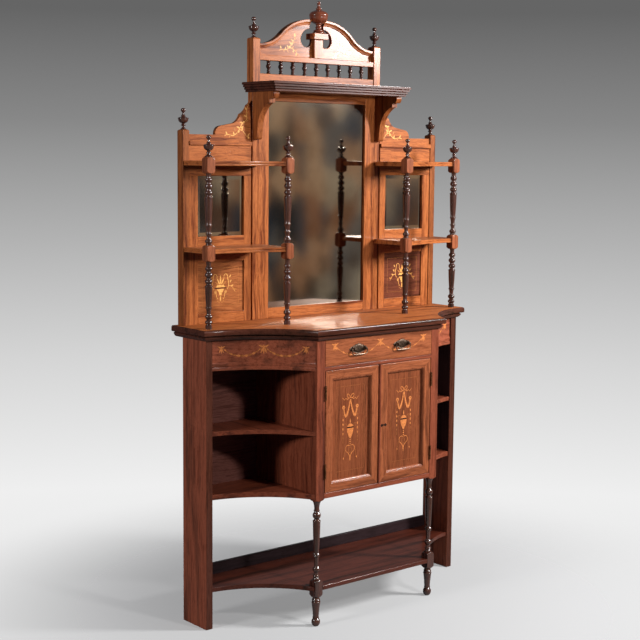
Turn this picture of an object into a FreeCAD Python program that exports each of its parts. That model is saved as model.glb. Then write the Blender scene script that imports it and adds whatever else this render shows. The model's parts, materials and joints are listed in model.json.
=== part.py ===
import FreeCAD, Part
import math
import os
from types import SimpleNamespace

import Sketcher
from FreeCAD import Placement, Rotation, Vector

# Driving sizes in millimetres. Heights start at the floor unless they say otherwise,
# depths run forward from the back edge of the top, and widths are centred on the middle of the front.
SIZES = {
    # Top and carcase
    "top_width": 1220,
    "top_depth": 406,
    "top_end_depth": 195,
    "top_centre_width": 600,
    "top_height": 1029,
    "top_thickness": 20,
    "top_bow": 54,
    "sub_board_thickness": 18,
    "sub_board_inset": 9,
    "top_overhang": 22,
    "side_panel_thickness": 26,
    "carcase_back_inset": 35,
    "carcase_back_thickness": 10,
    "centre_width": 568,
    "post_width": 35,
    "cupboard_wall_thickness": 18,
    "cupboard_wall_inset": 2,
    "wing_edge_inset": 4,
    "wing_bow": 44,
    "bottom_height": 447,
    "bottom_thickness": 18,
    "wing_shelf_height": 681,
    "wing_shelf_thickness": 15,
    "cupboard_shelf_setback": 45,
    "frieze_drop": 104,
    "frieze_thickness": 16,
    "frieze_flare": 28,
    "frieze_bead_height": 9,
    "frieze_bead_proud": 3,
    "pot_board_height": 142,
    "pot_board_thickness": 15,
    "upstand_height": 41,
    "upstand_thickness": 12,
    # Turned legs
    "leg_square_drop": 7,
    "leg_shoulder": 14,
    "leg_block_drop": 42,
    "leg_block_height": 68,
    "leg_core_radius": 11,
    "foot_pad_radius": 7,
    "foot_ball_height": 28,
    "foot_ankle_radius": 9.5,
    "foot_top_radius": 14,
    "foot_taper_height": 55,
    "leg_ring_base": 10,
    "leg_ring_height": 9,
    "leg_ring_bulge": 4,
    "leg_neck_radius": 9,
    "leg_neck_height": 7,
    "leg_shaft_foot_radius": 8.5,
    "leg_shaft_top_radius": 13.5,
    "leg_vase_height": 34,
    "leg_vase_radius": 13.5,
    "foot_ball_bulge": 6,
    # Drawer
    "drawer_rail_height": 12,
    "drawer_gap": 1.5,
    "drawer_front_thickness": 20,
    "drawer_side_thickness": 10,
    "drawer_side_height": 70,
    "drawer_back_gap": 30,
    "drawer_bottom_thickness": 6,
    "drawer_bottom_lift": 4,
    "running_gap": 0.3,
    "runner_width": 22,
    "guide_height": 40,
    # Drop handles
    "handle_spacing": 204,
    "handle_rise": 52,
    "plate_width": 86,
    "plate_height": 37,
    "plate_waist": 15,
    "plate_thickness": 2,
    "handle_post_spacing": 50,
    "handle_post_radius": 4.5,
    "handle_post_reach": 11,
    "handle_post_cap": 2,
    "handle_cap_radius": 2,
    "handle_shank_radius": 2,
    "handle_shank_gap": 0.1,
    "handle_nut_radius": 4,
    "handle_nut_thickness": 3,
    "handle_pivot_reach": 6.5,
    "bail_radius": 2,
    "bail_pin_gap": 0.08,
    "bail_pin_depth": 4,
    "bail_pin_end_gap": 0.3,
    "bail_width": 68,
    "bail_drop": 19,
    "bail_shoulder": 5,
    "bail_corner": 9,
    # Doors
    "door_gap": 1.5,
    "hinge_gap": 3,
    "meeting_half_gap": 6,
    "door_thickness": 20,
    "door_frame_width": 30,
    "door_bead_width": 8,
    "door_bead_depth": 8,
    "door_bead_setback": 2,
    "door_panel_thickness": 8,
    "meeting_bead_width": 9.8,
    "meeting_bead_depth": 12,
    "meeting_bead_proud": 4,
    "hinge_height": 50,
    "hinge_inset": 75,
    "hinge_leaf_thickness": 1.2,
    "hinge_barrel_radius": 3.2,
    "hinge_stand_off": 0.4,
    "hinge_pin_radius": 1.3,
    "hinge_pin_gap": 0.05,
    "hinge_end_gap": 0.3,
    "lock_rise": 202.5,
    "lock_case_width": 38,
    "lock_case_height": 58,
    "lock_case_depth": 11,
    "lock_case_wall": 2,
    "lock_edge": 3,
    "bolt_length": 31,
    "bolt_height": 15,
    "bolt_gap": 0.3,
    "escutcheon_width": 26,
    "escutcheon_height": 15,
    "escutcheon_waist": 6,
    "escutcheon_thickness": 0.8,
    # Upper back
    "end_post_width": 26,
    "end_post_back": 7,
    "end_post_proud": 3,
    "end_post_height": 658,
    "post_cap_height": 4,
    "frame_front": 38,
    "frame_thickness": 20,
    "back_board_thickness": 8,
    "centre_unit_width": 592,
    "upright_width": 24,
    "centre_stile_width": 47,
    "centre_top_rail": 28,
    "big_mirror_height": 726,
    "big_bevel_width": 22,
    "joint_gap": 6,
    "inner_stile_width": 30,
    "outer_stile_width": 36,
    "bottom_rail_height": 37,
    "inlaid_panel_height": 174,
    "middle_rail_height": 88,
    "small_mirror_height": 205,
    "small_bevel_width": 13,
    "top_rail_height": 103,
    "crest_moulding_height": 14,
    "crest_moulding_proud": 7,
    "mirror_setback": 8,
    "mirror_edge": 3,
    "bevel_depth": 1.5,
    "inlaid_panel_setback": 5,
    "inlaid_panel_thickness": 8,
    "crest_thickness": 14,
    "crest_setback": 3,
    "crest_flat_height": 22,
    "ear_reach": 150,
    "ear_lobe_width": 20,
    "ear_lobe_height": 30,
    "ear_lobe_bow": 7,
    "ear_ledge_width": 56,
    "ear_ledge_rise": 10,
    "ear_scallop_width": 30,
    "ear_scallop_height": 32,
    "ear_scallop_bow": 5,
    "ear_end_rise": 22,
    # Columns and shelves
    "outer_column_inset": 19,
    "outer_column_depth": 162,
    "inner_column_inset": 19,
    "inner_column_depth": 212,
    "lower_shelf_height": 266,
    "upper_shelf_height": 555,
    "shelf_thickness": 16,
    "shelf_end_inset": 3,
    "shelf_front_inset": 7.5,
    "shelf_bow": 12,
    "block_width": 34,
    "block_height": 54,
    "block_rise": 13,
    "block_shoulder": 9,
    "column_core_radius": 10,
    "column_foot_radius": 12.5,
    "column_foot_height": 26,
    "column_ring_base": 9,
    "column_ring_height": 8,
    "column_ring_bulge": 3.6,
    "column_neck_radius": 7.5,
    "column_neck_height": 7,
    "column_shaft_foot_radius": 8.8,
    "column_shaft_top_radius": 14,
    "column_vase_height": 17,
    "column_vase_bulge": 3,
    # Finials on the columns and posts
    "finial_bell_radius": 12,
    "finial_bell_height": 14,
    "finial_neck_radius": 5,
    "finial_cup_radius": 17.5,
    "finial_cup_height": 24,
    "finial_rim_height": 7,
    "finial_stem_radius": 3.6,
    "finial_stem_height": 14,
    "finial_ball_swell": 4.8,
    "finial_ball_height": 12,
    "finial_tip_radius": 1,
    "finial_hollow": 2.2,
    "finial_rim_swell": 1.5,
    "post_finial_foot_radius": 9.5,
    # Cornice and its brackets
    "cornice_overhang": 21,
    "cornice_back": 3,
    "cornice_front_overhang": 30,
    "cornice_height": 34,
    "cornice_side_step": 5,
    "cornice_front_step": 4,
    "bracket_height": 162,
    "bracket_reach": 118,
    "bracket_nose_height": 23,
    "bracket_nose_undercut": 7,
    "bracket_nose_bow": 4,
    "bracket_fillet_width": 8,
    "bracket_cove_bow": 11,
    "bracket_fillet_reach": 95,
    "bracket_fillet_height": 15,
    "bracket_cove_reach": 30,
    "bracket_cove_height": 68,
    "bracket_foot_reach": 24,
    "bracket_foot_radius": 10,
    # Pediment
    "pediment_inset": 0.5,
    "pediment_post_width": 31,
    "pediment_post_depth": 36,
    "pediment_post_height": 152,
    "low_rail_height": 31,
    "spindle_height": 46,
    "spindle_end_gap": 48.5,
    "spindle_foot_radius": 6.5,
    "spindle_foot_height": 4,
    "spindle_neck_radius": 4.5,
    "spindle_neck_height": 3,
    "spindle_swell_radius": 8,
    "spindle_curve": 1,
    "high_rail_height": 18,
    "rail_back": 8,
    "rail_depth": 28,
    "board_thickness": 14,
    "arch_end_rise": 39,
    "arch_bend_x": 170,
    "arch_bend_rise": 76,
    "arch_top_rise": 134,
    "arch_hollow": 9.5,
    "arch_swell": 15.5,
    "arch_moulding": 17,
    "arch_lean": 6,
    "arch_moulding_depth": 26,
    "arch_gap": 32,
    "lobe_neck_drop": 14,
    "lobe_side_x": 72,
    "lobe_side_rise": 69,
    "lobe_foot_x": 47,
    "lobe_foot_rise": 38,
    "lobe_shoulder_bow": 9,
    "lobe_side_bow": 8.5,
    "lobe_foot_bow": 7,
    "tongue_rise": 66,
    "tongue_half_width": 21,
    "tongue_shoulder": 8,
    "pedestal_width": 40,
    "pedestal_reach": 14.5,
    "cap_width": 64,
    "cap_back": 2,
    "cap_depth": 49,
    "cap_height": 21,
    "urn_set_forward": 7.5,
    "urn_base_radius": 20,
    "urn_base_height": 14,
    "urn_lip": 3,
    "urn_hollow": 2,
    "urn_swell": 5,
    "urn_neck_radius": 9,
    "urn_neck_height": 18,
    "urn_radius": 34,
    "urn_swell_height": 30,
    "urn_shoulder_height": 20,
    "urn_spire_radius": 7,
    "urn_spire_height": 20,
    "urn_tip_radius": 1,
    "urn_tip_swell": 4,
    "urn_spire_top_radius": 4,
    "urn_tip_height": 11,
}
SPINDLES_EACH_SIDE = 4
CORNICE_STEPS = 4
QUARTER_BOW = 1 - math.sqrt(0.5)
EAR_SCALLOPS = 2
SHOULDER_SEAT = 0.47
SHOULDER_REACH = 0.75
SHOULDER_OVERCUT = 1
SIDEWAYS = Rotation(Vector(1, 1, 1), 120)
ALONG_DEPTH = Rotation(Vector(1, 0, 0), 90)


class Size:
    """A length that carries its value and the sheet formula that gives it."""

    def __init__(self, formula, value):
        self.formula = formula
        self.value = value

    def __add__(self, other):
        other = as_size(other)
        return Size(f"({self.formula} + {other.formula})", self.value + other.value)

    def __sub__(self, other):
        other = as_size(other)
        return Size(f"({self.formula} - {other.formula})", self.value - other.value)

    def __mul__(self, other):
        other = as_size(other)
        return Size(f"({self.formula} * {other.formula})", self.value * other.value)

    def __truediv__(self, other):
        other = as_size(other)
        return Size(f"({self.formula} / {other.formula})", self.value / other.value)

    def __neg__(self):
        return Size(f"(0 - {self.formula})", -self.value)


def as_size(number):
    if isinstance(number, Size):
        return number
    return Size(f"({number:.9f})", float(number))


def root(size):
    return Size(f"sqrt({size.formula})", math.sqrt(size.value))


doc = FreeCAD.newDocument("MirrorBackSideboard")
sheet = doc.addObject("Spreadsheet::Sheet", "Dims")
for row, (name, number) in enumerate(SIZES.items(), start=1):
    sheet.set(f"A{row}", name)
    sheet.set(f"B{row}", str(number))
    sheet.setAlias(f"B{row}", name)
doc.recompute()
s = SimpleNamespace(**{name: Size(f"Dims.{name}", float(number)) for name, number in SIZES.items()})
nodes = []


def bind(thing, path, size):
    thing.setExpression(path, as_size(size).formula)


def place(thing, x, y, z, turn=None):
    """Put a piece at x, y, z, turned if asked."""
    x, y, z = as_size(x), as_size(y), as_size(z)
    thing.Placement = Placement(Vector(x.value, y.value, z.value), turn or Rotation())
    for axis, size in zip("xyz", (x, y, z)):
        bind(thing, f"Placement.Base.{axis}", size)
    return thing


def at_depth(depth):
    """The y of a point this far forward of the back edge of the top."""
    return s.top_depth / 2 - depth


def keep(piece):
    nodes.append(piece)
    return piece


def box(label, across, depth, height):
    """A board between two widths, two depths and two heights."""
    (x0, x1), (d0, d1), (z0, z1) = across, depth, height
    board = doc.addObject("Part::Box", label)
    bind(board, "Length", as_size(x1) - x0)
    bind(board, "Width", as_size(d1) - d0)
    bind(board, "Height", as_size(z1) - z0)
    return place(board, x0, at_depth(d1), z0)


def fuse(label, pieces):
    joined = doc.addObject("Part::MultiFuse", label)
    joined.Shapes = pieces
    return joined


def cut(label, base, tool):
    result = doc.addObject("Part::Cut", label)
    result.Base = base
    result.Tool = tool
    return result


def group(label, pieces):
    """Several like pieces in one node, each still its own solid."""
    bundle = doc.addObject("Part::Compound", label)
    bundle.Links = pieces
    return bundle


def mirrored(label, source):
    """The same piece on the other side of the middle."""
    twin = doc.addObject("Part::Mirroring", label)
    twin.Source = source
    twin.Base = Vector(0, 0, 0)
    twin.Normal = Vector(1, 0, 0)
    return twin


def pair(label, right):
    """Right and left pieces as one node."""
    return group(label, [right, mirrored(label + "_twin", right)])


def origin_plane(body, role):
    return next(plane for plane in body.Origin.OriginFeatures if plane.Role == role)


def add_sketch(body, role, offset=None):
    sketch = body.newObject("Sketcher::SketchObject", f"{body.Name}_sketch")
    sketch.AttachmentSupport = [(origin_plane(body, role), "")]
    sketch.MapMode = "FlatFace"
    if offset is not None:
        bind(sketch, "AttachmentOffset.Base.z", offset)
    return sketch


def arc_centre(here, there):
    """Centre of an arc that bows to the left of the way from here to there."""
    run = there[0] - here[0]
    climb = there[1] - here[1]
    chord = root(run * run + climb * climb)
    bow = here[2]
    lean = (bow * bow - chord * chord / 4) / (bow * chord * 2)
    return (here[0] + there[0]) / 2 - climb * lean, (here[1] + there[1]) / 2 + run * lean


def angle_from(centre, point):
    return math.atan2(point[1].value - centre[1].value, point[0].value - centre[0].value)


def point_of(corner):
    return Vector(corner[0].value, corner[1].value, 0)


def draw(sketch, corners, closed=True):
    """Draw an outline. A corner is (x, y) or (x, y, bow), where bow curves the edge that leaves it."""
    corners = [tuple(as_size(part) for part in corner) for corner in corners]
    starts, ends, rules = [], [], []
    count = len(corners) if closed else len(corners) - 1
    for index in range(count):
        here = corners[index]
        there = corners[(index + 1) % len(corners)]
        if len(here) == 2:
            edge = sketch.addGeometry(Part.LineSegment(point_of(here), point_of(there)), False)
            starts.append((edge, 1))
            ends.append((edge, 2))
            continue
        centre = arc_centre(here, there)
        radius = (point_of(here) - point_of(centre)).Length
        clockwise = here[2].value > 0
        first, last = (there, here) if clockwise else (here, there)
        begin, finish = angle_from(centre, first), angle_from(centre, last)
        if finish <= begin:
            finish += 2 * math.pi
        circle = Part.Circle(point_of(centre), Vector(0, 0, 1), radius)
        edge = sketch.addGeometry(Part.ArcOfCircle(circle, begin, finish), False)
        starts.append((edge, 2 if clockwise else 1))
        ends.append((edge, 1 if clockwise else 2))
        upright = abs(there[1].value - here[1].value) > abs(there[0].value - here[0].value)
        rules.append(("DistanceX" if upright else "DistanceY", (edge, 3), centre[0 if upright else 1]))
    for index, (edge, end) in enumerate(starts):
        rules.append(("DistanceX", (edge, end), corners[index][0]))
        rules.append(("DistanceY", (edge, end), corners[index][1]))
    if not closed:
        rules.append(("DistanceX", ends[-1], corners[-1][0]))
        rules.append(("DistanceY", ends[-1], corners[-1][1]))
    constraints = []
    for index, start in enumerate(starts):
        if closed or index > 0:
            constraints.append(Sketcher.Constraint("Coincident", *ends[index - 1], *start))
    formulas = {}
    for kind, spot, size in rules:
        if size.formula == "(0.000000000)":
            axis = -2 if kind == "DistanceX" else -1
            constraints.append(Sketcher.Constraint("PointOnObject", *spot, axis))
            continue
        formulas[len(constraints)] = size.formula
        constraints.append(Sketcher.Constraint(kind, -1, 1, *spot, size.value))
    sketch.addConstraint(constraints)
    for number, formula in formulas.items():
        sketch.setExpression(f"Constraints[{number}]", formula)


def pad(body, corners, length, offset=None):
    """Raise an outline into a block on the body."""
    sketch = add_sketch(body, "XY_Plane", offset)
    draw(sketch, corners)
    block = body.newObject("PartDesign::Pad", f"{body.Name}_pad")
    block.Profile = sketch
    bind(block, "Length", length)
    return block


def plate(label, corners, thickness):
    """A flat piece cut to an outline."""
    body = doc.addObject("PartDesign::Body", label)
    pad(body, corners, thickness)
    return body


def plan_plate(label, corners, bottom, thickness):
    """A level board, its outline given by width and depth."""
    outline = [(corner[0], at_depth(corner[1]), *corner[2:]) for corner in corners]
    return place(plate(label, outline, thickness), 0, 0, bottom)


def front_plate(label, corners, front, thickness):
    """An upright board seen from the front, its outline given by width and height."""
    return place(plate(label, corners, thickness), 0, at_depth(front) + thickness, 0, ALONG_DEPTH)


def side_plate(label, corners, left, thickness):
    """An upright board seen from the side, its outline given by depth and height."""
    outline = [(at_depth(corner[0]), *corner[1:]) for corner in corners]
    return place(plate(label, outline, thickness), left, 0, 0, SIDEWAYS)


def square(width):
    half = as_size(width) / 2
    return [(-half, -half), (half, -half), (half, half), (-half, half)]


def turned_corners(steps):
    """Corners of a turned half-profile from (rise, radius) steps; a third value swells the step outward."""
    height = as_size(0)
    corners = [(as_size(0), height)]
    for rise, radius, *swell in steps:
        height = height + rise if rise else height
        if swell:
            corners[-1] = (*corners[-1][:2], -as_size(swell[0]))
        corners.append((as_size(radius), height))
    return corners + [(as_size(0), height)]


def turn(body, steps):
    sketch = add_sketch(body, "XZ_Plane")
    draw(sketch, turned_corners(steps))
    turning = body.newObject("PartDesign::Revolution", f"{body.Name}_turning")
    turning.Profile = sketch
    turning.ReferenceAxis = (sketch, ["V_Axis"])
    turning.Angle = 360
    return turning


def turned(label, steps):
    body = doc.addObject("PartDesign::Body", label)
    turn(body, steps)
    return body


def shoulder_blocks(body, width, blocks, shoulder):
    """Square blocks on a turning, with their corners turned away at the ends that are listed."""
    reach = as_size(width) * SHOULDER_REACH
    seat = as_size(width) * SHOULDER_SEAT
    for bottom, height, _ in blocks:
        pad(body, square(width), height, bottom)
    sketch = add_sketch(body, "XZ_Plane")
    for bottom, height, ends in blocks:
        for name, end, way in (("low", bottom, 1), ("high", bottom + height, -1)):
            if name in ends:
                clear = end - SHOULDER_OVERCUT * way
                draw(sketch, [(seat, end), (seat, clear), (reach, clear), (reach, end + shoulder * way)])
    groove = body.newObject("PartDesign::Groove", f"{body.Name}_shoulders")
    groove.Profile = sketch
    groove.ReferenceAxis = (sketch, ["V_Axis"])
    groove.Angle = 360


# Places shared by many pieces
side_outer = s.top_width / 2 - s.top_overhang
side_inner = side_outer - s.side_panel_thickness
side_front = s.top_end_depth - s.top_overhang
centre_front = s.top_depth - s.top_overhang
post_outer = s.centre_width / 2
post_inner = post_outer - s.post_width
post_back = centre_front - s.post_width
wall_outer = post_outer - s.cupboard_wall_inset
wall_inner = wall_outer - s.cupboard_wall_thickness
back_front = s.carcase_back_inset + s.carcase_back_thickness
sub_top = s.top_height - s.top_thickness
carcase_top = sub_top - s.sub_board_thickness
bottom_top = s.bottom_height + s.bottom_thickness
frieze_bottom = carcase_top - s.frieze_drop
rail_top = frieze_bottom + s.drawer_rail_height
handle_height = rail_top + s.handle_rise
leg_square_end = s.bottom_height - s.leg_square_drop
leg_block_bottom = s.pot_board_height - s.leg_block_drop
unit_half = s.centre_unit_width / 2
outer_column_x = side_outer - s.outer_column_inset
inner_column_x = unit_half - s.inner_column_inset
wing_side = side_front - s.wing_edge_inset
wing_centre = centre_front - s.wing_edge_inset


def top_outline(inset):
    """The shaped top, seen from above, drawn in from its edge by an inset at the front and ends."""
    half = s.top_width / 2 - inset
    middle = s.top_centre_width / 2 - inset
    ends = s.top_end_depth - inset
    front = s.top_depth - inset
    return [
        (-half, 0), (-half, ends, s.top_bow), (-middle, front),
        (middle, front, s.top_bow), (half, ends), (half, 0),
    ]


def wing_board_outline(back):
    """A board between the side panels, hollow at the wings and notched round the front posts."""
    return [
        (-side_inner, back), (-side_inner, wing_side, s.wing_bow), (-post_outer, wing_centre),
        (-post_outer, post_back), (-post_inner, post_back), (-post_inner, centre_front),
        (post_inner, centre_front), (post_inner, post_back), (post_outer, post_back),
        (post_outer, wing_centre, s.wing_bow), (side_inner, wing_side), (side_inner, back),
    ]


def make_carcase():
    """Top, sides, walls, shelves and back of the base."""
    keep(plan_plate("top_board", top_outline(0), sub_top, s.top_thickness))
    keep(plan_plate("top_moulding", top_outline(s.sub_board_inset), carcase_top, s.sub_board_thickness))
    side = keep(box("side_panel_right", (side_inner, side_outer), (s.carcase_back_inset, side_front),
                    (0, carcase_top)))
    keep(mirrored("side_panel_left", side))
    wall = box("cupboard_wall", (wall_inner, wall_outer), (back_front, post_back), (bottom_top, carcase_top))
    keep(pair("cupboard_walls", wall))
    keep(box("carcase_back", (-side_inner, side_inner), (s.carcase_back_inset, back_front),
             (s.bottom_height, carcase_top)))
    keep(plan_plate("carcase_bottom", wing_board_outline(back_front), s.bottom_height, s.bottom_thickness))
    shelf_outline = [
        (wall_outer, back_front), (wall_outer, post_back), (post_outer, post_back),
        (post_outer, wing_centre, s.wing_bow), (side_inner, wing_side), (side_inner, back_front),
    ]
    shelf = plan_plate("wing_shelf", shelf_outline, s.wing_shelf_height - s.wing_shelf_thickness,
                       s.wing_shelf_thickness)
    keep(pair("wing_shelves", shelf))
    keep(pair("wing_friezes", wing_frieze()))
    keep(box("cupboard_shelf", (-wall_inner, wall_inner), (back_front, post_back - s.cupboard_shelf_setback),
             (s.wing_shelf_height - s.wing_shelf_thickness, s.wing_shelf_height)))
    keep(plan_plate("pot_board", wing_board_outline(s.carcase_back_inset),
                    s.pot_board_height - s.pot_board_thickness, s.pot_board_thickness))
    upstand_front = s.carcase_back_inset + s.upstand_thickness
    keep(box("pot_board_upstand", (-side_inner, side_inner), (s.carcase_back_inset, upstand_front),
             (s.pot_board_height, s.pot_board_height + s.upstand_height)))


def wing_frieze():
    """Hollow front of a wing, with a bead along its lower edge."""
    body = doc.addObject("PartDesign::Body", "wing_frieze")
    for proud, rise, height in ((0, s.frieze_bead_height, s.frieze_drop - s.frieze_bead_height),
                                (s.frieze_bead_proud, as_size(0), s.frieze_bead_height)):
        front = s.frieze_bead_proud - proud
        corners = [
            (post_outer, wing_centre - front, s.wing_bow), (side_inner, wing_side - front),
            (side_inner, wing_side - s.frieze_thickness, -s.wing_bow),
            (post_outer, wing_centre - s.frieze_thickness - s.frieze_flare),
        ]
        pad(body, [(x, at_depth(d), *bow) for x, d, *bow in corners], height, rise)
    return place(body, 0, 0, frieze_bottom)


def make_legs():
    """Square posts that are turned below the cupboard into legs and feet."""
    ring = (s.leg_ring_height, s.leg_ring_base, s.leg_ring_bulge)
    neck = (s.leg_neck_height, s.leg_neck_radius)
    block_top = leg_block_bottom + s.leg_block_height
    ankle = leg_block_bottom - s.foot_ball_height - s.foot_taper_height
    rings = s.leg_ring_height * 2 + s.leg_neck_height * 3
    shaft = leg_square_end - block_top - rings * 2 - s.leg_vase_height
    turning = [
        (0, s.foot_pad_radius),
        (s.foot_ball_height, s.foot_ankle_radius, s.foot_ball_bulge),
        (s.foot_taper_height, s.foot_top_radius),
        (ankle, s.leg_core_radius),
        (s.leg_block_height, s.leg_core_radius),
        neck, (0, s.leg_ring_base), ring, neck, (0, s.leg_ring_base), ring,
        (s.leg_neck_height, s.leg_shaft_foot_radius),
        (shaft, s.leg_shaft_top_radius),
        neck, (0, s.leg_ring_base), ring, neck, (0, s.leg_ring_base), ring, neck,
        (s.leg_vase_height, s.leg_vase_radius),
        (carcase_top - leg_square_end, s.leg_core_radius),
    ]
    body = turned("leg_post_right", turning)
    blocks = [
        (leg_block_bottom, s.leg_block_height, ("low", "high")),
        (leg_square_end, carcase_top - leg_square_end, ("low",)),
    ]
    shoulder_blocks(body, s.post_width, blocks, s.leg_shoulder)
    middle = s.post_width / 2
    keep(place(body, post_outer - middle, at_depth(centre_front - middle), 0))
    keep(mirrored("leg_post_left", body))


def make_drawer():
    """Rail, runners and the dovetailed drawer box."""
    keep(box("drawer_rail", (-post_inner, post_inner), (post_back, centre_front), (frieze_bottom, rail_top)))
    front_half = post_inner - s.drawer_gap
    side_half = front_half - s.running_gap * 2
    inner_half = side_half - s.drawer_side_thickness
    runner_inner = side_half - s.runner_width
    runner = front_plate("drawer_runner", [
        (runner_inner, frieze_bottom), (wall_inner, frieze_bottom), (wall_inner, rail_top + s.guide_height),
        (side_half + s.running_gap, rail_top + s.guide_height), (side_half + s.running_gap, rail_top),
        (runner_inner, rail_top),
    ], post_back, post_back - back_front)
    keep(pair("drawer_runners", runner))
    low = rail_top + s.running_gap
    side_top = low + s.drawer_side_height
    back = back_front + s.drawer_back_gap
    front_back = centre_front - s.drawer_front_thickness
    inner_back = back + s.drawer_side_thickness
    blank = box("drawer_front_blank", (-front_half, front_half), (front_back, centre_front),
                (rail_top + s.drawer_gap, carcase_top - s.drawer_gap))
    keep(cut("drawer_front", blank, shank_holes("drawer_front_holes")))
    side = box("drawer_side", (inner_half, side_half), (back, front_back), (low, side_top))
    keep(pair("drawer_sides", side))
    keep(box("drawer_back", (-inner_half, inner_half), (back, inner_back), (low, side_top)))
    floor = low + s.drawer_bottom_lift
    keep(box("drawer_bottom", (-inner_half, inner_half), (inner_back, front_back),
             (floor, floor + s.drawer_bottom_thickness)))


def handle_rod(label, radius, length, x, depth):
    """A round bar that runs forward from a depth at the height of the handle posts."""
    rod = doc.addObject("Part::Cylinder", label)
    bind(rod, "Radius", radius)
    bind(rod, "Height", length)
    return place(rod, x, at_depth(depth), handle_height, ALONG_DEPTH)


def handle_post_places():
    """Widths of the two posts of the right handle, each with the way that its bail pin comes in from."""
    middle, lobe = s.handle_spacing / 2, s.handle_post_spacing / 2
    return [(middle - lobe, -1), (middle + lobe, 1)]


def shank_holes(label):
    """Holes for the handle posts, through the drawer front and the plates."""
    radius = s.handle_shank_radius + s.handle_shank_gap
    length = s.drawer_front_thickness + s.plate_thickness
    start = centre_front - s.drawer_front_thickness
    holes = []
    for number, (x, _) in enumerate(handle_post_places()):
        hole = handle_rod(f"{label}_{number}", radius, length, x, start)
        holes += [hole, mirrored(f"{label}_{number}_twin", hole)]
    return group(label, holes)


def make_handles():
    """Two drop handles: plate, two posts through the drawer front and a bail that swings in them."""
    wide, tall, waist = s.plate_width / 2, s.plate_height / 2, s.plate_waist / 2
    lobe = s.handle_post_spacing / 2
    middle = s.handle_spacing / 2
    outline = [
        (-wide, 0), (-lobe, -waist), (0, -tall), (lobe, -waist), (wide, 0),
        (lobe, waist), (0, tall), (-lobe, waist),
    ]
    backing = plate("handle_plate", outline, s.plate_thickness)
    place(backing, middle, at_depth(centre_front), handle_height, ALONG_DEPTH)
    blanks = pair("handle_plate_blanks", backing)
    keep(cut("handle_plates", blanks, shank_holes("handle_plate_holes")))
    plate_front = centre_front + s.plate_thickness
    posts = [handle_post(x, shift, plate_front) for x, shift in handle_post_places()]
    keep(group("handle_posts", posts + [mirrored(f"{post.Name}_twin", post) for post in posts]))
    bail = make_bail("handle_bail_right", lobe + s.handle_post_radius - s.bail_pin_depth)
    keep(place(bail, middle, at_depth(plate_front + s.handle_pivot_reach), handle_height))
    keep(mirrored("handle_bail_left", bail))


def handle_post(x, shift, plate_front):
    """A turned post with a nut behind the drawer front and a blind hole for one end of the bail."""
    steps = [
        (0, s.handle_nut_radius), (s.handle_nut_thickness, s.handle_nut_radius), (0, s.handle_shank_radius),
        (s.drawer_front_thickness + s.plate_thickness, s.handle_shank_radius),
        (0, s.handle_post_radius), (s.handle_post_reach, s.handle_post_radius),
        (s.handle_post_cap, s.handle_cap_radius),
    ]
    side = "inner" if shift < 0 else "outer"
    stem = turned(f"handle_stem_{side}", steps)
    start = centre_front - s.drawer_front_thickness - s.handle_nut_thickness
    place(stem, x, at_depth(start), handle_height, ALONG_DEPTH)
    bore = doc.addObject("Part::Cylinder", f"handle_bore_{side}")
    bind(bore, "Radius", s.bail_radius + s.bail_pin_gap)
    length = s.handle_post_radius * 2
    bind(bore, "Height", length)
    mouth = x + (s.handle_post_radius - s.bail_pin_depth - s.bail_pin_end_gap) * shift
    mouth = mouth if shift > 0 else mouth - length
    depth = plate_front + s.handle_pivot_reach
    place(bore, mouth, at_depth(depth), handle_height, Rotation(Vector(0, 1, 0), 90))
    return cut(f"handle_post_{side}", stem, bore)


def make_bail(label, pin_end):
    """A bent rod whose ends turn in to the posts and whose bar hangs below them."""
    half, drop = s.bail_width / 2, s.bail_drop
    near, far = s.bail_shoulder, s.bail_corner
    near_bow, far_bow = -(near * QUARTER_BOW), -(far * QUARTER_BOW)
    body = doc.addObject("PartDesign::Body", label)
    spine = add_sketch(body, "XZ_Plane")
    corners = [
        (-pin_end, 0), (near - half, 0, near_bow), (-half, -near), (-half, far - drop, far_bow),
        (far - half, -drop), (half - far, -drop, far_bow), (half, far - drop), (half, -near, near_bow),
        (half - near, 0), (pin_end, 0),
    ]
    draw(spine, corners, closed=False)
    section = add_sketch(body, "YZ_Plane", -pin_end)
    section.addGeometry(Part.Circle(Vector(0, 0, 0), Vector(0, 0, 1), s.bail_radius.value), False)
    section.addConstraint([
        Sketcher.Constraint("Coincident", 0, 3, -1, 1),
        Sketcher.Constraint("Radius", 0, s.bail_radius.value),
    ])
    section.setExpression("Constraints[1]", s.bail_radius.formula)
    rod = body.newObject("PartDesign::AdditivePipe", f"{label}_rod")
    rod.Profile = section
    rod.Spine = (spine, [f"Edge{number}" for number in range(1, len(corners))])
    return body


def frame_pieces(label, across, height, width, back, front):
    """Four mitred pieces of a door frame."""
    (x0, x1), (z0, z1) = across, height
    a0, a1, b0, b1 = x0 + width, x1 - width, z0 + width, z1 - width
    outlines = {
        "foot": [(x0, z0), (x1, z0), (a1, b0), (a0, b0)],
        "head": [(x0, z1), (a0, b1), (a1, b1), (x1, z1)],
        "near": [(x0, z0), (a0, b0), (a0, b1), (x0, z1)],
        "far": [(x1, z0), (x1, z1), (a1, b1), (a1, b0)],
    }
    thickness = front - back
    return [front_plate(f"{label}_{name}", corners, front, thickness) for name, corners in outlines.items()]


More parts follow.
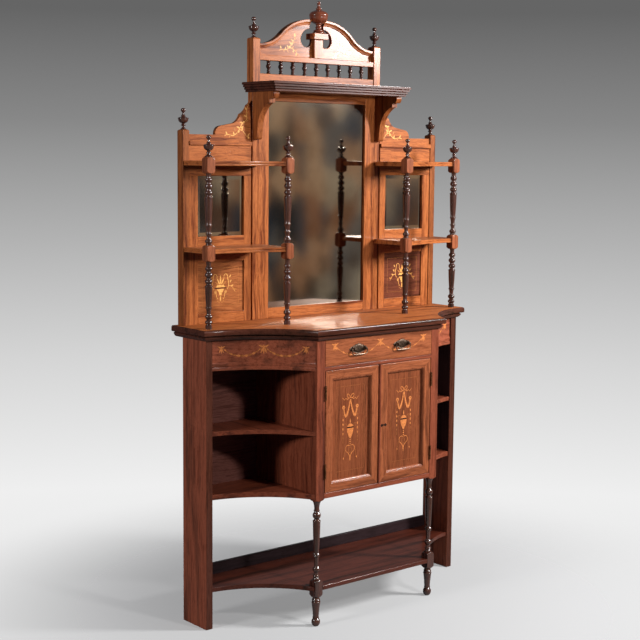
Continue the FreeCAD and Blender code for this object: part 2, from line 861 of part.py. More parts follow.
def make_doors():
    """Framed and panelled doors, each a mirror of the other, with a bead where they meet."""
    outer = post_inner - s.hinge_gap
    inner = s.meeting_half_gap
    low = bottom_top + s.door_gap
    high = frieze_bottom - s.door_gap
    back = centre_front - s.door_thickness
    frame = keep(group("door_frame_right",
                       frame_pieces("door_frame", (inner, outer), (low, high), s.door_frame_width,
                                    back, centre_front)))
    keep(mirrored("door_frame_left", frame))
    x0, x1 = inner + s.door_frame_width, outer - s.door_frame_width
    z0, z1 = low + s.door_frame_width, high - s.door_frame_width
    panel_front = centre_front - s.door_bead_setback - s.door_bead_depth
    panel_depth = (panel_front - s.door_panel_thickness, panel_front)
    panel = keep(box("door_panel_right", (x0, x1), panel_depth, (z0, z1)))
    keep(mirrored("door_panel_left", panel))
    bead = keep(group("door_bead_right",
                      frame_pieces("door_bead", (x0, x1), (z0, z1), s.door_bead_width,
                                   panel_front, panel_front + s.door_bead_depth)))
    keep(mirrored("door_bead_left", bead))
    bead_left = inner - s.meeting_bead_width
    meeting = plate("meeting_bead", [
        (bead_left, at_depth(centre_front - s.meeting_bead_depth)), (bead_left, at_depth(centre_front),
                                                                    -s.meeting_bead_proud),
        (inner, at_depth(centre_front)), (inner, at_depth(centre_front - s.meeting_bead_depth)),
    ], high - low)
    keep(place(meeting, 0, 0, low))
    make_hinges(outer, low, high, back)
    make_lock(inner, back, low + s.lock_rise)


def make_hinges(outer, low, high, back):
    """Butt hinges: a fixed leaf on the post and a leaf on the door, joined by a pin."""
    third = s.hinge_height / 3
    reach = s.hinge_barrel_radius + s.hinge_stand_off
    axis_x = post_inner - s.hinge_gap / 2
    axis_depth = centre_front + reach
    fixed_leaves, door_leaves, pins = [], [], []
    for number, middle in enumerate((low + s.hinge_inset, high - s.hinge_inset)):
        bottom = middle - s.hinge_height / 2
        top = bottom + s.hinge_height
        bore = hinge_rod(f"hinge_bore_{number}", s.hinge_pin_radius + s.hinge_pin_gap, bottom, top,
                         axis_x, axis_depth)
        post_side = (post_inner - s.hinge_leaf_thickness, post_inner)
        door_side = (outer, outer + s.hinge_leaf_thickness)
        ends = [(bottom, bottom + third), (top - third, top)]
        inside = [(bottom + third + s.hinge_end_gap, top - third - s.hinge_end_gap)]
        for store, name, side, barrels in ((fixed_leaves, "fixed", post_side, ends),
                                           (door_leaves, "door", door_side, inside)):
            pieces = [box(f"hinge_{name}_leaf_{number}", side, (back, centre_front), (bottom, top))]
            for order, (b0, b1) in enumerate(barrels):
                tag = f"{name}_{number}_{order}"
                pieces.append(box(f"hinge_neck_{tag}", side, (centre_front, axis_depth), (b0, b1)))
                pieces.append(hinge_rod(f"hinge_barrel_{tag}", s.hinge_barrel_radius, b0, b1,
                                        axis_x, axis_depth))
            joined = fuse(f"hinge_{name}_joined_{number}", pieces)
            store.append(cut(f"hinge_{name}_{number}", joined, bore))
        pins.append(hinge_rod(f"hinge_pin_{number}", s.hinge_pin_radius, bottom, top, axis_x, axis_depth))
    keep(pair("hinge_leaves_fixed", group("hinge_fixed_right", fixed_leaves + pins)))
    right = keep(group("hinge_leaves_door_right", door_leaves))
    keep(mirrored("hinge_leaves_door_left", right))


def hinge_rod(label, radius, low, high, x, depth):
    rod = doc.addObject("Part::Cylinder", label)
    bind(rod, "Radius", radius)
    bind(rod, "Height", high - low)
    return place(rod, x, at_depth(depth), low)


def make_lock(inner, back, middle):
    """Lock case on the back of the right door, its sliding bolt and the escutcheon on the front."""
    case_left = inner + s.lock_edge
    case_right = case_left + s.lock_case_width
    low = middle - s.lock_case_height / 2
    case = box("lock_shell", (case_left, case_right), (back - s.lock_case_depth, back),
               (low, low + s.lock_case_height))
    bolt_low = middle - s.bolt_height / 2
    bolt_back = back - s.lock_case_depth + s.lock_case_wall + s.bolt_gap
    bolt_front = back - s.lock_case_wall - s.bolt_gap
    channel = box("lock_channel", (case_left, case_right - s.lock_case_wall),
                  (bolt_back - s.bolt_gap, bolt_front + s.bolt_gap),
                  (bolt_low - s.bolt_gap, bolt_low + s.bolt_height + s.bolt_gap))
    keep(cut("lock_case", case, channel))
    keep(box("lock_bolt", (case_left, case_left + s.bolt_length), (bolt_back, bolt_front),
             (bolt_low, bolt_low + s.bolt_height)))
    wide, tall, waist = s.escutcheon_width / 2, s.escutcheon_height / 2, s.escutcheon_waist / 2
    outline = [(-wide, -waist), (-wide / 2, -tall), (0, -waist), (wide / 2, -tall), (wide, -waist),
               (wide, waist), (wide / 2, tall), (0, waist), (-wide / 2, tall), (-wide, waist)]
    cover = plate("lock_escutcheon", outline, s.escutcheon_thickness)
    keep(place(cover, inner + s.door_frame_width / 2, at_depth(centre_front), middle, ALONG_DEPTH))


def bevelled_glass(label, across, height, bevel):
    """Mirror plate with a bevelled border on its front."""
    (x0, x1), (z0, z1) = across, height
    face = s.frame_front - s.mirror_setback
    edge = box(f"{label}_edge", across, (face - s.bevel_depth - s.mirror_edge, face - s.bevel_depth), height)
    slope = doc.addObject("Part::Wedge", f"{label}_bevel")
    wide, tall = as_size(x1) - x0, as_size(z1) - z0
    for path, size in (("Xmin", bevel), ("Xmax", wide - bevel), ("Zmin", bevel), ("Zmax", tall - bevel),
                       ("Ymin", 0), ("Ymax", s.bevel_depth), ("X2min", 0), ("X2max", wide),
                       ("Z2min", 0), ("Z2max", tall)):
        bind(slope, path, size)
    place(slope, x0, at_depth(face), z0)
    return fuse(label, [edge, slope])


def capped_post(label, across, depth, height):
    """Square post with its top edges sloped."""
    (x0, x1), (d0, d1), (z0, z1) = across, depth, height
    shaft = box(f"{label}_shaft", across, depth, (z0, z1 - s.post_cap_height))
    cap = doc.addObject("Part::Wedge", f"{label}_cap")
    wide, deep = x1 - x0, as_size(d1) - d0
    slope = s.post_cap_height
    for path, size in (("Xmin", 0), ("Xmax", wide), ("Zmin", 0), ("Zmax", deep), ("Ymin", 0), ("Ymax", slope),
                       ("X2min", slope), ("X2max", wide - slope), ("Z2min", slope), ("Z2max", deep - slope)):
        bind(cap, path, size)
    place(cap, x0, at_depth(d0), z1 - slope, ALONG_DEPTH)
    return fuse(label, [shaft, cap])


def finial_steps():
    return [
        (s.finial_bell_height, s.finial_neck_radius, -s.finial_hollow),
        (s.finial_cup_height, s.finial_cup_radius, -s.finial_hollow),
        (s.finial_rim_height, s.finial_stem_radius, s.finial_rim_swell),
        (s.finial_stem_height, s.finial_stem_radius),
        (s.finial_ball_height, s.finial_tip_radius, s.finial_ball_swell),
    ]


def make_upper_back():
    """Posts, frames, mirrors and panels that stand on the back of the top."""
    base = s.top_height
    frame_back = s.frame_front - s.frame_thickness
    upright_inner = unit_half - s.upright_width
    glass_half = upright_inner - s.centre_stile_width
    glass_low = base + s.bottom_rail_height
    glass_high = glass_low + s.big_mirror_height
    unit_top = glass_high + s.centre_top_rail
    board_back = frame_back - s.back_board_thickness
    depth = (frame_back, s.frame_front)
    post_inside = side_outer - s.end_post_width
    post = capped_post("end_post", (post_inside, side_outer),
                       (s.end_post_back, s.frame_front + s.end_post_proud), (base, base + s.end_post_height))
    keep(pair("end_posts", post))
    upright = box("centre_upright", (upright_inner, unit_half), (board_back, s.frame_front), (base, unit_top))
    keep(pair("centre_uprights", upright))
    stile = box("centre_stile", (glass_half, upright_inner), depth, (base, unit_top))
    sight = (-glass_half, glass_half)
    low_rail = box("centre_low_rail", sight, depth, (base, glass_low))
    high_rail = box("centre_high_rail", sight, depth, (glass_high, unit_top))
    keep(group("centre_mirror_frame", [stile, mirrored("centre_stile_left", stile), low_rail, high_rail]))
    keep(bevelled_glass("centre_mirror", sight, (glass_low, glass_high), s.big_bevel_width))
    make_side_frames(base, post_inside, frame_back)
    centre_board = box("centre_back_board", (-upright_inner, upright_inner), (board_back, frame_back),
                       (base, unit_top))
    side_top = base + s.bottom_rail_height + s.inlaid_panel_height + s.middle_rail_height
    side_top = side_top + s.small_mirror_height + s.top_rail_height
    side_board = box("side_back_board", (unit_half, post_inside), (board_back, frame_back), (base, side_top))
    keep(group("upper_back_boards", [centre_board, side_board, mirrored("side_back_board_left", side_board)]))
    return unit_top


def make_side_frames(base, post_inside, frame_back):
    """Framed side units with a small mirror over an inlaid panel, under a scrolled crest."""
    left = unit_half + s.joint_gap
    sight_left = left + s.inner_stile_width
    sight_right = post_inside - s.outer_stile_width
    depth = (frame_back, s.frame_front)
    panel_low = base + s.bottom_rail_height
    panel_high = panel_low + s.inlaid_panel_height
    glass_low = panel_high + s.middle_rail_height
    glass_high = glass_low + s.small_mirror_height
    rail_high = glass_high + s.top_rail_height
    crest = rail_high + s.crest_moulding_height
    sight = (sight_left, sight_right)
    pieces = [
        box("side_inner_stile", (left, sight_left), depth, (base, glass_high)),
        box("side_outer_stile", (sight_right, post_inside), depth, (base, glass_high)),
        box("side_low_rail", sight, depth, (base, panel_low)),
        box("side_middle_rail", sight, depth, (panel_high, glass_low)),
        box("side_top_rail", (left, post_inside), depth, (glass_high, rail_high)),
        box("crest_moulding", (left, post_inside), (frame_back, s.frame_front + s.crest_moulding_proud),
            (rail_high, crest)),
    ]
    keep(pair("side_frames", group("side_frame_right", pieces)))
    glass = bevelled_glass("small_mirror", sight, (glass_low, glass_high), s.small_bevel_width)
    keep(pair("small_mirrors", glass))
    panel_front = s.frame_front - s.inlaid_panel_setback
    panel = box("inlaid_panel", sight, (panel_front - s.inlaid_panel_thickness, panel_front),
                (panel_low, panel_high))
    keep(pair("inlaid_panels", panel))
    keep(pair("crest_boards", crest_board(left, post_inside, crest)))


def crest_board(left, right, low):
    """Low rail that rises beside the centre into a lobed and scalloped ear."""
    flat = low + s.crest_flat_height
    lobe_x = left + s.ear_reach - s.ear_lobe_width
    lobe_z = flat + s.ear_lobe_height
    ledge_x = lobe_x - s.ear_ledge_width
    ledge_z = lobe_z + s.ear_ledge_rise
    corners = [(left, low), (right, low), (right, flat), (left + s.ear_reach, flat, -s.ear_lobe_bow),
               (lobe_x, lobe_z)]
    x, z = ledge_x, ledge_z
    for _ in range(EAR_SCALLOPS):
        corners.append((x, z, s.ear_scallop_bow))
        x = x - s.ear_scallop_width
        z = z + s.ear_scallop_height
    corners.append((x, z, s.ear_scallop_bow))
    corners.append((left, z + s.ear_end_rise))
    return front_plate("crest_board", corners, s.frame_front - s.crest_setback, s.crest_thickness)


def shelf_outline(post_inside):
    """A corner shelf, notched round the end post and both column blocks."""
    half = s.block_width / 2
    outer_x, inner_x = outer_column_x, inner_column_x
    inner_edge = unit_half - s.upright_width
    outer_edge = side_outer - s.shelf_end_inset
    post_face = s.frame_front + s.end_post_proud
    outer_back = s.outer_column_depth - half
    inner_back = s.inner_column_depth - half
    outer_front = s.outer_column_depth + half - s.shelf_front_inset
    inner_front = s.inner_column_depth + half - s.shelf_front_inset
    return [
        (inner_edge, s.frame_front), (inner_edge, inner_back), (inner_x + half, inner_back),
        (inner_x + half, inner_front, s.shelf_bow), (outer_x - half, outer_front),
        (outer_x - half, outer_back), (outer_edge, outer_back), (outer_edge, post_face),
        (post_inside, post_face), (post_inside, s.frame_front),
    ]


def make_shelves_and_columns():
    """Two tiers of corner shelves on turned columns."""
    post_inside = side_outer - s.end_post_width
    outline = shelf_outline(post_inside)
    for name, height in (("lower", s.lower_shelf_height), ("upper", s.upper_shelf_height)):
        underside = s.top_height + height - s.shelf_thickness
        shelf = plan_plate(f"{name}_shelf", outline, underside, s.shelf_thickness)
        keep(pair(f"{name}_shelves", shelf))
    for name, x, depth in (("outer", outer_column_x, s.outer_column_depth),
                           ("inner", inner_column_x, s.inner_column_depth)):
        column = place(make_column(f"{name}_column"), x, at_depth(depth), s.top_height)
        keep(pair(f"{name}_columns", column))


def tier_steps(height):
    """One length of column between blocks: rings and necks at both ends of a shaft that swells upward."""
    ring = (s.column_ring_height, s.column_ring_base, s.column_ring_bulge)
    neck = (s.column_neck_height, s.column_neck_radius)
    ends = s.column_ring_height * 2 + s.column_neck_height * 4 + s.column_vase_height
    return [
        (0, s.column_ring_base), ring, neck, (0, s.column_shaft_foot_radius),
        (height - ends, s.column_shaft_top_radius), neck, (0, s.column_ring_base), ring, neck,
        (0, s.column_ring_base), (s.column_vase_height, s.column_ring_base, s.column_vase_bulge), neck,
    ]


def make_column(label):
    """Turned column with a square block at each shelf and a finial on top."""
    low_block = s.lower_shelf_height + s.block_rise - s.block_height
    high_block = s.upper_shelf_height + s.block_rise - s.block_height
    steps = [(0, s.column_foot_radius), (s.column_foot_height, s.column_foot_radius)]
    steps += tier_steps(low_block - s.column_foot_height)
    steps += [(s.block_height, s.column_core_radius)]
    steps += tier_steps(high_block - low_block - s.block_height)
    steps += [(s.block_height, s.column_core_radius), (0, s.finial_bell_radius)]
    steps += finial_steps()
    body = turned(label, steps)
    both = ("low", "high")
    blocks = [(low_block, s.block_height, both), (high_block, s.block_height, both)]
    shoulder_blocks(body, s.block_width, blocks, s.block_shoulder)
    return body


def make_cornice(unit_top):
    """Stepped cornice on two shaped brackets."""
    layer = s.cornice_height / CORNICE_STEPS
    nose = s.frame_front + s.bracket_reach
    layers = []
    for number in range(CORNICE_STEPS):
        back_steps = CORNICE_STEPS - 1 - number
        half = unit_half + s.cornice_overhang - s.cornice_side_step * back_steps
        front = nose + s.cornice_front_overhang - s.cornice_front_step * back_steps
        low = unit_top + layer * number
        depth = (s.cornice_back, front)
        layers.append(box(f"cornice_layer_{number}", (-half, half), depth, (low, low + layer)))
    keep(fuse("cornice", layers))
    face = s.frame_front
    low = unit_top - s.bracket_height
    nose_low = unit_top - s.bracket_nose_height
    fillet_low = nose_low - s.bracket_fillet_height
    cove_low = fillet_low - s.bracket_cove_height
    foot = s.bracket_foot_radius
    bracket = side_plate("cornice_bracket", [
        (face, unit_top), (face, low), (face + s.bracket_foot_reach - foot, low, foot * QUARTER_BOW),
        (face + s.bracket_foot_reach, low + foot),
        (face + s.bracket_cove_reach, cove_low, -s.bracket_cove_bow),
        (face + s.bracket_fillet_reach - s.bracket_fillet_width, fillet_low),
        (face + s.bracket_fillet_reach, fillet_low), (face + s.bracket_fillet_reach, nose_low),
        (nose - s.bracket_nose_undercut, nose_low, s.bracket_nose_bow), (nose, unit_top),
    ], unit_half - s.upright_width, s.upright_width)
    keep(pair("cornice_brackets", bracket))
    return unit_top + s.cornice_height


def make_pediment(base):
    """Spindle gallery under a broken arch with an urn on its pedestal."""
    outer = unit_half - s.pediment_inset
    inner = outer - s.pediment_post_width
    post_depth = (s.cornice_back, s.cornice_back + s.pediment_post_depth)
    post = capped_post("pediment_post", (inner, outer), post_depth, (base, base + s.pediment_post_height))
    spindle_low = base + s.low_rail_height
    spindle_high = spindle_low + s.spindle_height
    foot = spindle_high + s.high_rail_height
    rail_depth = (s.rail_back, s.rail_back + s.rail_depth)
    low_rail = box("pediment_low_rail", (-inner, inner), rail_depth, (base, spindle_low))
    high_rail = box("pediment_high_rail", (-inner, inner), rail_depth, (spindle_high, foot))
    keep(group("pediment_frame", [post, mirrored("pediment_post_left", post), low_rail, high_rail]))
    keep(group("pediment_spindles", make_spindles(spindle_low, inner)))
    board_front = s.rail_back + s.board_thickness
    keep(front_plate("pediment_board", board_outline(foot, inner), board_front, s.board_thickness))
    top = arch_points(foot, inner, 0, 0)
    under = arch_points(foot, inner, s.arch_moulding, s.arch_lean)
    strip = [
        (*top[0], s.arch_hollow), (*top[1], -s.arch_swell), top[2],
        (*under[2], s.arch_swell), (*under[1], -s.arch_hollow), under[0],
    ]
    mould = front_plate("arch_moulding", strip, s.rail_back + s.arch_moulding_depth, s.arch_moulding_depth)
    keep(pair("arch_mouldings", mould))
    make_urn(foot, board_front)
    make_post_finials(base, outer, inner)


def arch_points(foot, inner, drop, lean):
    """End, bend and top of the right half of the arch, lowered by a drop with its bend moved in."""
    return [
        (inner, foot + s.arch_end_rise - drop),
        (s.arch_bend_x - lean, foot + s.arch_bend_rise - drop),
        (s.arch_gap, foot + s.arch_top_rise - drop),
    ]


def board_outline(foot, inner):
    """Arched board with a keyhole opening on each side of its tongue."""
    end, bend, top = arch_points(foot, inner, s.arch_moulding, s.arch_lean)
    right = [
        (*end, s.arch_hollow), (*bend, -s.arch_swell), top,
        (s.arch_gap, top[1] - s.lobe_neck_drop, s.lobe_shoulder_bow),
        (s.lobe_side_x, foot + s.lobe_side_rise, s.lobe_side_bow),
        (s.lobe_foot_x, foot + s.lobe_foot_rise, s.lobe_foot_bow),
        (s.tongue_half_width, foot + s.tongue_rise - s.tongue_shoulder),
        (s.tongue_half_width, foot + s.tongue_rise),
    ]
    corners = [(-inner, foot), (inner, foot)] + right
    for index in range(len(right) - 1, -1, -1):
        x, z = right[index][:2]
        bow = right[index - 1][2:] if index else ()
        corners.append((-as_size(x), z, *bow))
    return corners


def make_spindles(low, inner):
    """A row of small turned spindles, evenly spaced."""
    neck = (s.spindle_neck_height, s.spindle_neck_radius)
    swell = s.spindle_height / 2 - s.spindle_foot_height - s.spindle_neck_height * 2
    steps = [
        (0, s.spindle_foot_radius), (s.spindle_foot_height, s.spindle_foot_radius),
        (0, s.spindle_neck_radius), neck, (swell, s.spindle_swell_radius, s.spindle_curve), neck,
        (s.spindle_neck_height, s.spindle_swell_radius),
        (swell, s.spindle_neck_radius, -s.spindle_curve), neck,
        (0, s.spindle_foot_radius), (s.spindle_foot_height, s.spindle_foot_radius),
    ]
    first = turned("spindle", steps)
    pitch = (inner - s.spindle_end_gap) / SPINDLES_EACH_SIDE
    middle = s.rail_back + s.rail_depth / 2
    spindles = []
    for number in range(-SPINDLES_EACH_SIDE, SPINDLES_EACH_SIDE + 1):
        spindle = first if number == -SPINDLES_EACH_SIDE else doc.copyObject(first, True)
        spindles.append(place(spindle, pitch * number, at_depth(middle), low))
    return spindles


def make_urn(foot, board_front):
    """Pedestal on the face of the board, its cap and the turned urn."""
    tongue = foot + s.tongue_rise
    half = s.pedestal_width / 2
    stem = box("pedestal_stem", (-half, half), (board_front, board_front + s.pedestal_reach), (foot, tongue))
    cap_half = s.cap_width / 2
    cap = box("pedestal_cap", (-cap_half, cap_half), (s.cap_back, s.cap_back + s.cap_depth),
              (tongue, tongue + s.cap_height))
    keep(group("urn_pedestal", [stem, cap]))
    steps = [
        (0, s.urn_base_radius), (s.urn_base_height, s.urn_neck_radius + s.urn_lip, -s.urn_hollow),
        (0, s.urn_neck_radius), (s.urn_neck_height, s.urn_neck_radius, -s.urn_hollow),
        (s.urn_swell_height, s.urn_radius, s.urn_swell),
        (s.urn_shoulder_height, s.urn_spire_radius, s.urn_swell),
        (s.urn_spire_height, s.urn_spire_top_radius, -s.urn_hollow),
        (s.urn_tip_height, s.urn_tip_radius, s.urn_tip_swell),
    ]
    depth = s.cap_back + s.cap_depth / 2 + s.urn_set_forward
    keep(place(turned("urn_finial", steps), 0, at_depth(depth), tongue + s.cap_height))


def make_post_finials(base, outer, inner):
    """The same turned finial on the end posts and on the pediment posts."""
    middle = (outer + inner) / 2
    post_middle = side_outer - s.end_post_width / 2
    end_depth = (s.end_post_back + s.frame_front + s.end_post_proud) / 2
    pediment_depth = s.cornice_back + s.pediment_post_depth / 2
    steps = [(0, s.post_finial_foot_radius)] + finial_steps()
    low = turned("end_finial", steps)
    place(low, post_middle, at_depth(end_depth), s.top_height + s.end_post_height)
    high = turned("pediment_finial", steps)
    place(high, middle, at_depth(pediment_depth), base + s.pediment_post_height)
    twins = [mirrored("end_finial_left", low), mirrored("pediment_finial_left", high)]
    keep(group("post_finials", [low, high] + twins))


def check_and_write():
    """Stop on any failed object, then write one file for each node."""
    for thing in doc.Objects:
        if "Invalid" in thing.State or "Error" in thing.State:
            raise RuntimeError(f"{thing.Label} failed to rebuild: {thing.State}")
    os.makedirs("parts", exist_ok=True)
    for piece in nodes:
        shape = piece.Shape
        if shape.isNull() or not shape.isValid() or not shape.Solids:
            raise RuntimeError(f"{piece.Label} has no sound shape")
        shape.exportStep(f"parts/{piece.Label}.step")
    print(len(nodes), "nodes")


make_carcase()
make_legs()
make_drawer()
make_handles()
make_doors()
unit_top = make_upper_back()
make_shelves_and_columns()
cornice_top = make_cornice(unit_top)
make_pediment(cornice_top)
doc.recompute()
check_and_write()
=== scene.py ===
import json
import math

import bmesh
import bpy
from mathutils import Matrix, Vector


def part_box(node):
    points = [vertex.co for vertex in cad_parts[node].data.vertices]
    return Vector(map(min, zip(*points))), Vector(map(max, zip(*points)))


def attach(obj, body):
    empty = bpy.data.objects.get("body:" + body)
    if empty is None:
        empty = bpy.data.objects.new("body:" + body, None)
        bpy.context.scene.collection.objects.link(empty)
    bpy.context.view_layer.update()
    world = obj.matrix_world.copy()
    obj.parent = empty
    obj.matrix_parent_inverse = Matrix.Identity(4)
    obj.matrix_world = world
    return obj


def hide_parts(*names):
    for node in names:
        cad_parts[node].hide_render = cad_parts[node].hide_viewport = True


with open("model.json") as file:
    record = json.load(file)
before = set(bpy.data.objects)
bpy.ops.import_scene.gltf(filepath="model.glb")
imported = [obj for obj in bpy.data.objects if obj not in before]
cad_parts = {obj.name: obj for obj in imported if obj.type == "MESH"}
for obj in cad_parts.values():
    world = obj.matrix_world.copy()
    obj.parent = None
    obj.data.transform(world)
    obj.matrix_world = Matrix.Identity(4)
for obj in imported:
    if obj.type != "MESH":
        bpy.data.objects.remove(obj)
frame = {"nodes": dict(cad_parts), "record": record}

bl_info = {
    "name": "Mirror-back sideboard",
    "version": (1, 0, 0),
    "blender": (4, 5, 0),
    "location": "View3D > Sidebar > Sideboard",
    "description": "Dresses the frame of a sideboard with moulded, turned, silvered and inlaid pieces",
    "category": "Add Mesh",
}

# Lengths in the functions below are millimetres; depths run forward from the back edge of the top
MM = 0.001
BACK_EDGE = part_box("top_board")[1].y / MM
BODY_OF = {node: body for body, members in frame["record"]["behaviour"]["bodies"].items() for node in members}
SLOT_OF = {part["node"]: part["material_slot"] for part in frame["record"]["subparts"]}
SIDES = (("left", -1), ("right", 1))

# Widths in the upper back that no box of a node gives
UPRIGHT_WIDTH, POST_WIDTH, COLUMN_BLOCK = 24, 26, 34
FRAME_GAP, INNER_STILE, OUTER_STILE = 6, 30, 36


class PieceSettings(bpy.types.PropertyGroup):
    edge: bpy.props.FloatProperty(
        name="Edge rounding", description="Width of the worn edge on boards", default=0.0012, unit="LENGTH")
    fine_edge: bpy.props.FloatProperty(
        name="Fine edge", description="Width of the edge on small mouldings", default=0.0006, unit="LENGTH")
    inlay_rise: bpy.props.FloatProperty(
        name="Inlay rise", description="Height of the inlay above its ground", default=0.0002, unit="LENGTH")
    string_width: bpy.props.FloatProperty(
        name="Stringing width", description="Width of the pale lines round the panels", default=0.0009,
        unit="LENGTH")
    sides: bpy.props.IntProperty(
        name="Turning sides", description="Faces round a turned piece", default=48, min=16)


class StageSettings(bpy.types.PropertyGroup):
    camera_place: bpy.props.FloatVectorProperty(
        name="Camera place", description="Where the camera stands", default=(-3.1558, -3.6193, 1.6080),
        subtype="TRANSLATION", unit="LENGTH")
    camera_yaw: bpy.props.FloatProperty(
        name="Camera yaw", description="Turn of the view to the right of straight back",
        default=math.radians(39.965), subtype="ANGLE", unit="ROTATION")
    camera_pitch: bpy.props.FloatProperty(
        name="Camera pitch", description="Tilt of the view below level", default=math.radians(6.951),
        subtype="ANGLE", unit="ROTATION")
    camera_roll: bpy.props.FloatProperty(
        name="Camera roll", description="Turn of the view about its own axis", default=math.radians(0.52),
        subtype="ANGLE", unit="ROTATION")
    lens: bpy.props.FloatProperty(
        name="Lens", description="Focal length on a 36 mm sensor, in millimetres", default=76.33)
    key_power: bpy.props.FloatProperty(
        name="Key power", description="Soft light in front", default=42.5, unit="POWER")
    side_power: bpy.props.FloatProperty(
        name="Side power", description="Soft light at the right front", default=244.0, unit="POWER")
    fill_power: bpy.props.FloatProperty(
        name="Fill power", description="Soft light at the left", default=94.0, unit="POWER")


# Materials

def linear(hex_colour):
    """Linear colour from an sRGB hex text."""
    parts = [int(hex_colour[i:i + 2], 16) / 255 for i in (1, 3, 5)]
    return (*[c / 12.92 if c <= 0.04045 else ((c + 0.055) / 1.055) ** 2.4 for c in parts], 1.0)


def add(tree, kind, inputs=None, **settings):
    """Add one shader node, set its properties and fill or link its inputs."""
    made = tree.nodes.new(kind)
    for name, value in settings.items():
        setattr(made, name, value)
    for name, value in (inputs or {}).items():
        if isinstance(value, bpy.types.NodeSocket):
            tree.links.new(value, made.inputs[name])
        else:
            made.inputs[name].default_value = value
    return made


def ramp(tree, factor, stops):
    """A colour ramp from (position, colour) stops, the colours as numbers or as hex text."""
    made = add(tree, "ShaderNodeValToRGB", {"Fac": factor})
    elements = made.color_ramp.elements
    while len(elements) < len(stops):
        elements.new(0.5)
    for element, (position, colour) in zip(elements, stops):
        element.position = position
        element.color = linear(colour) if isinstance(colour, str) else colour
    return made.outputs["Color"]


def mix(tree, factor, first, second, blend="MIX"):
    """A colour mixed from two others."""
    made = add(tree, "ShaderNodeMix", {"Factor": factor, 6: first, 7: second}, data_type="RGBA", blend_type=blend)
    return made.outputs[2]


def share_of(tree, value, low, high):
    """How far a value lies between a low and a high one, from 0 to 1."""
    made = add(tree, "ShaderNodeMapRange", {"Value": value, "From Min": low, "From Max": high})
    return made.outputs["Result"]


def surface_of(name, values):
    """A new material, its tree, its surface node set to values, and the coordinates of the object."""
    material = bpy.data.materials.new(name)
    material.use_nodes = True
    tree = material.node_tree
    surface = tree.nodes["Principled BSDF"]
    for socket, value in values.items():
        surface.inputs[socket].default_value = value
    return material, tree, surface, add(tree, "ShaderNodeTexCoord").outputs["Object"]


# Name of a wood, its light ground, its dark streaks, how broad the streaks are per metre, roughness and polish
WOODS = {
    "polished rosewood": ("#A45E32", "#683118", 48, 0.34, 0.10),
    "block rosewood": ("#8D5034", "#5B2F1D", 48, 0.34, 0.14),
    "post rosewood": ("#894D28", "#562612", 48, 0.36, 0.10),
    "carcase rosewood": ("#7D402C", "#53291E", 30, 0.38, 0.14),
    "flank rosewood": ("#8D4B35", "#603425", 30, 0.38, 0.14),
    "door rosewood": ("#8F5032", "#6C3A24", 46, 0.36, 0.16),
    "panel rosewood": ("#7B4228", "#5F321E", 46, 0.36, 0.16),
    # On the top's nosing, the ogee under the top and the side panels' front faces this dark wood is painted
    # shade; the cornice takes the same dark wood
    "nosing rosewood": ("#4C281D", "#30180F", 40, 0.26, 0.20),
    "figured rosewood": ("#9F5E34", "#6F3A1D", 60, 0.34, 0.16),
    # The darker figured wood of the right inlaid panel is painted shade, standing in for the shade that falls on
    # that panel
    "dark figured rosewood": ("#683726", "#472316", 60, 0.34, 0.12),
    "turned rosewood": ("#43221A", "#1F0F0C", 70, 0.22, 0.42),
    "shadowed back board": ("#6A423A", "#4A2E29", 40, 0.30, 0.30),
    # Near-black wood on the pot board's upstand; on the sheets inside the wings it is painted shade
    "ebonised lining": ("#2C2022", "#1E1618", 40, 0.34, 0.10),
    # The pot board's darker wood is painted shade, standing in for the shade under the cupboard
    "base rosewood": ("#4E2419", "#2C130B", 30, 0.30, 0.30),
    "top rosewood": ("#A45E32", "#683118", 48, 0.50, 0.04),
    "urn rosewood": ("#713623", "#462316", 40, 0.22, 0.30),
    "drawer lining": ("#99754B", "#715130", 60, 0.60, 0.00),
}


def wood(name, axis):
    """Polished wood: dark streaks and fine pores drawn out along one axis of the piece."""
    full_name = f"{name} {'xyz'[axis]}"
    if full_name in bpy.data.materials:
        return bpy.data.materials[full_name]
    light, dark, streaks, roughness, polish = WOODS[name]
    glossy, lacquered = roughness <= 0.25, polish >= 0.4
    material, tree, surface, place = surface_of(full_name, {
        "Roughness": roughness, "Coat Weight": polish, "Coat Roughness": 0.08 if lacquered else 0.14,
        "Specular IOR Level": 0.4 if glossy else 0.06})
    stretch = [1.0, 1.0, 1.0]
    stretch[axis] = 0.035
    wander = add(tree, "ShaderNodeTexNoise", {"Vector": place, "Scale": 5.0, "Detail": 2.0})
    drift = add(tree, "ShaderNodeVectorMath", {0: wander.outputs["Color"], "Scale": 0.03}, operation="SCALE")
    bent = add(tree, "ShaderNodeVectorMath", {0: place, 1: drift.outputs["Vector"]}, operation="ADD")
    grain = add(tree, "ShaderNodeMapping", {"Vector": bent.outputs["Vector"], "Scale": stretch})

    def noise(scale, detail, roughness, distortion=0.0):
        made = add(tree, "ShaderNodeTexNoise", {
            "Vector": grain.outputs["Vector"], "Scale": scale, "Detail": detail, "Roughness": roughness,
            "Distortion": distortion})
        return made.outputs["Fac"]

    figure, lines, pores = noise(streaks, 5.0, 0.6, 0.3), noise(streaks * 4.5, 4.0, 0.6), noise(900.0, 2.0, 0.5)
    ground = ramp(tree, figure, [(0.34, dark), (0.50, light), (0.72, light)])
    streak = ramp(tree, lines, [(0.34, "#CDC2BC"), (0.52, "#FFFFFF")])
    shade = ramp(tree, pores, [(0.34, "#CCC6C2"), (0.50, "#FFFFFF")])
    lined = mix(tree, 1.0, ground, streak, "MULTIPLY")
    tree.links.new(mix(tree, 1.0, lined, shade, "MULTIPLY"), surface.inputs["Base Color"])
    relief = add(tree, "ShaderNodeBump", {"Height": pores, "Strength": 0.12, "Distance": 0.0002})
    tree.links.new(relief.outputs["Normal"], surface.inputs["Normal"])
    return material


def grains(name):
    """The same wood with its grain along x, y and z."""
    return [wood(name, axis) for axis in range(3)]


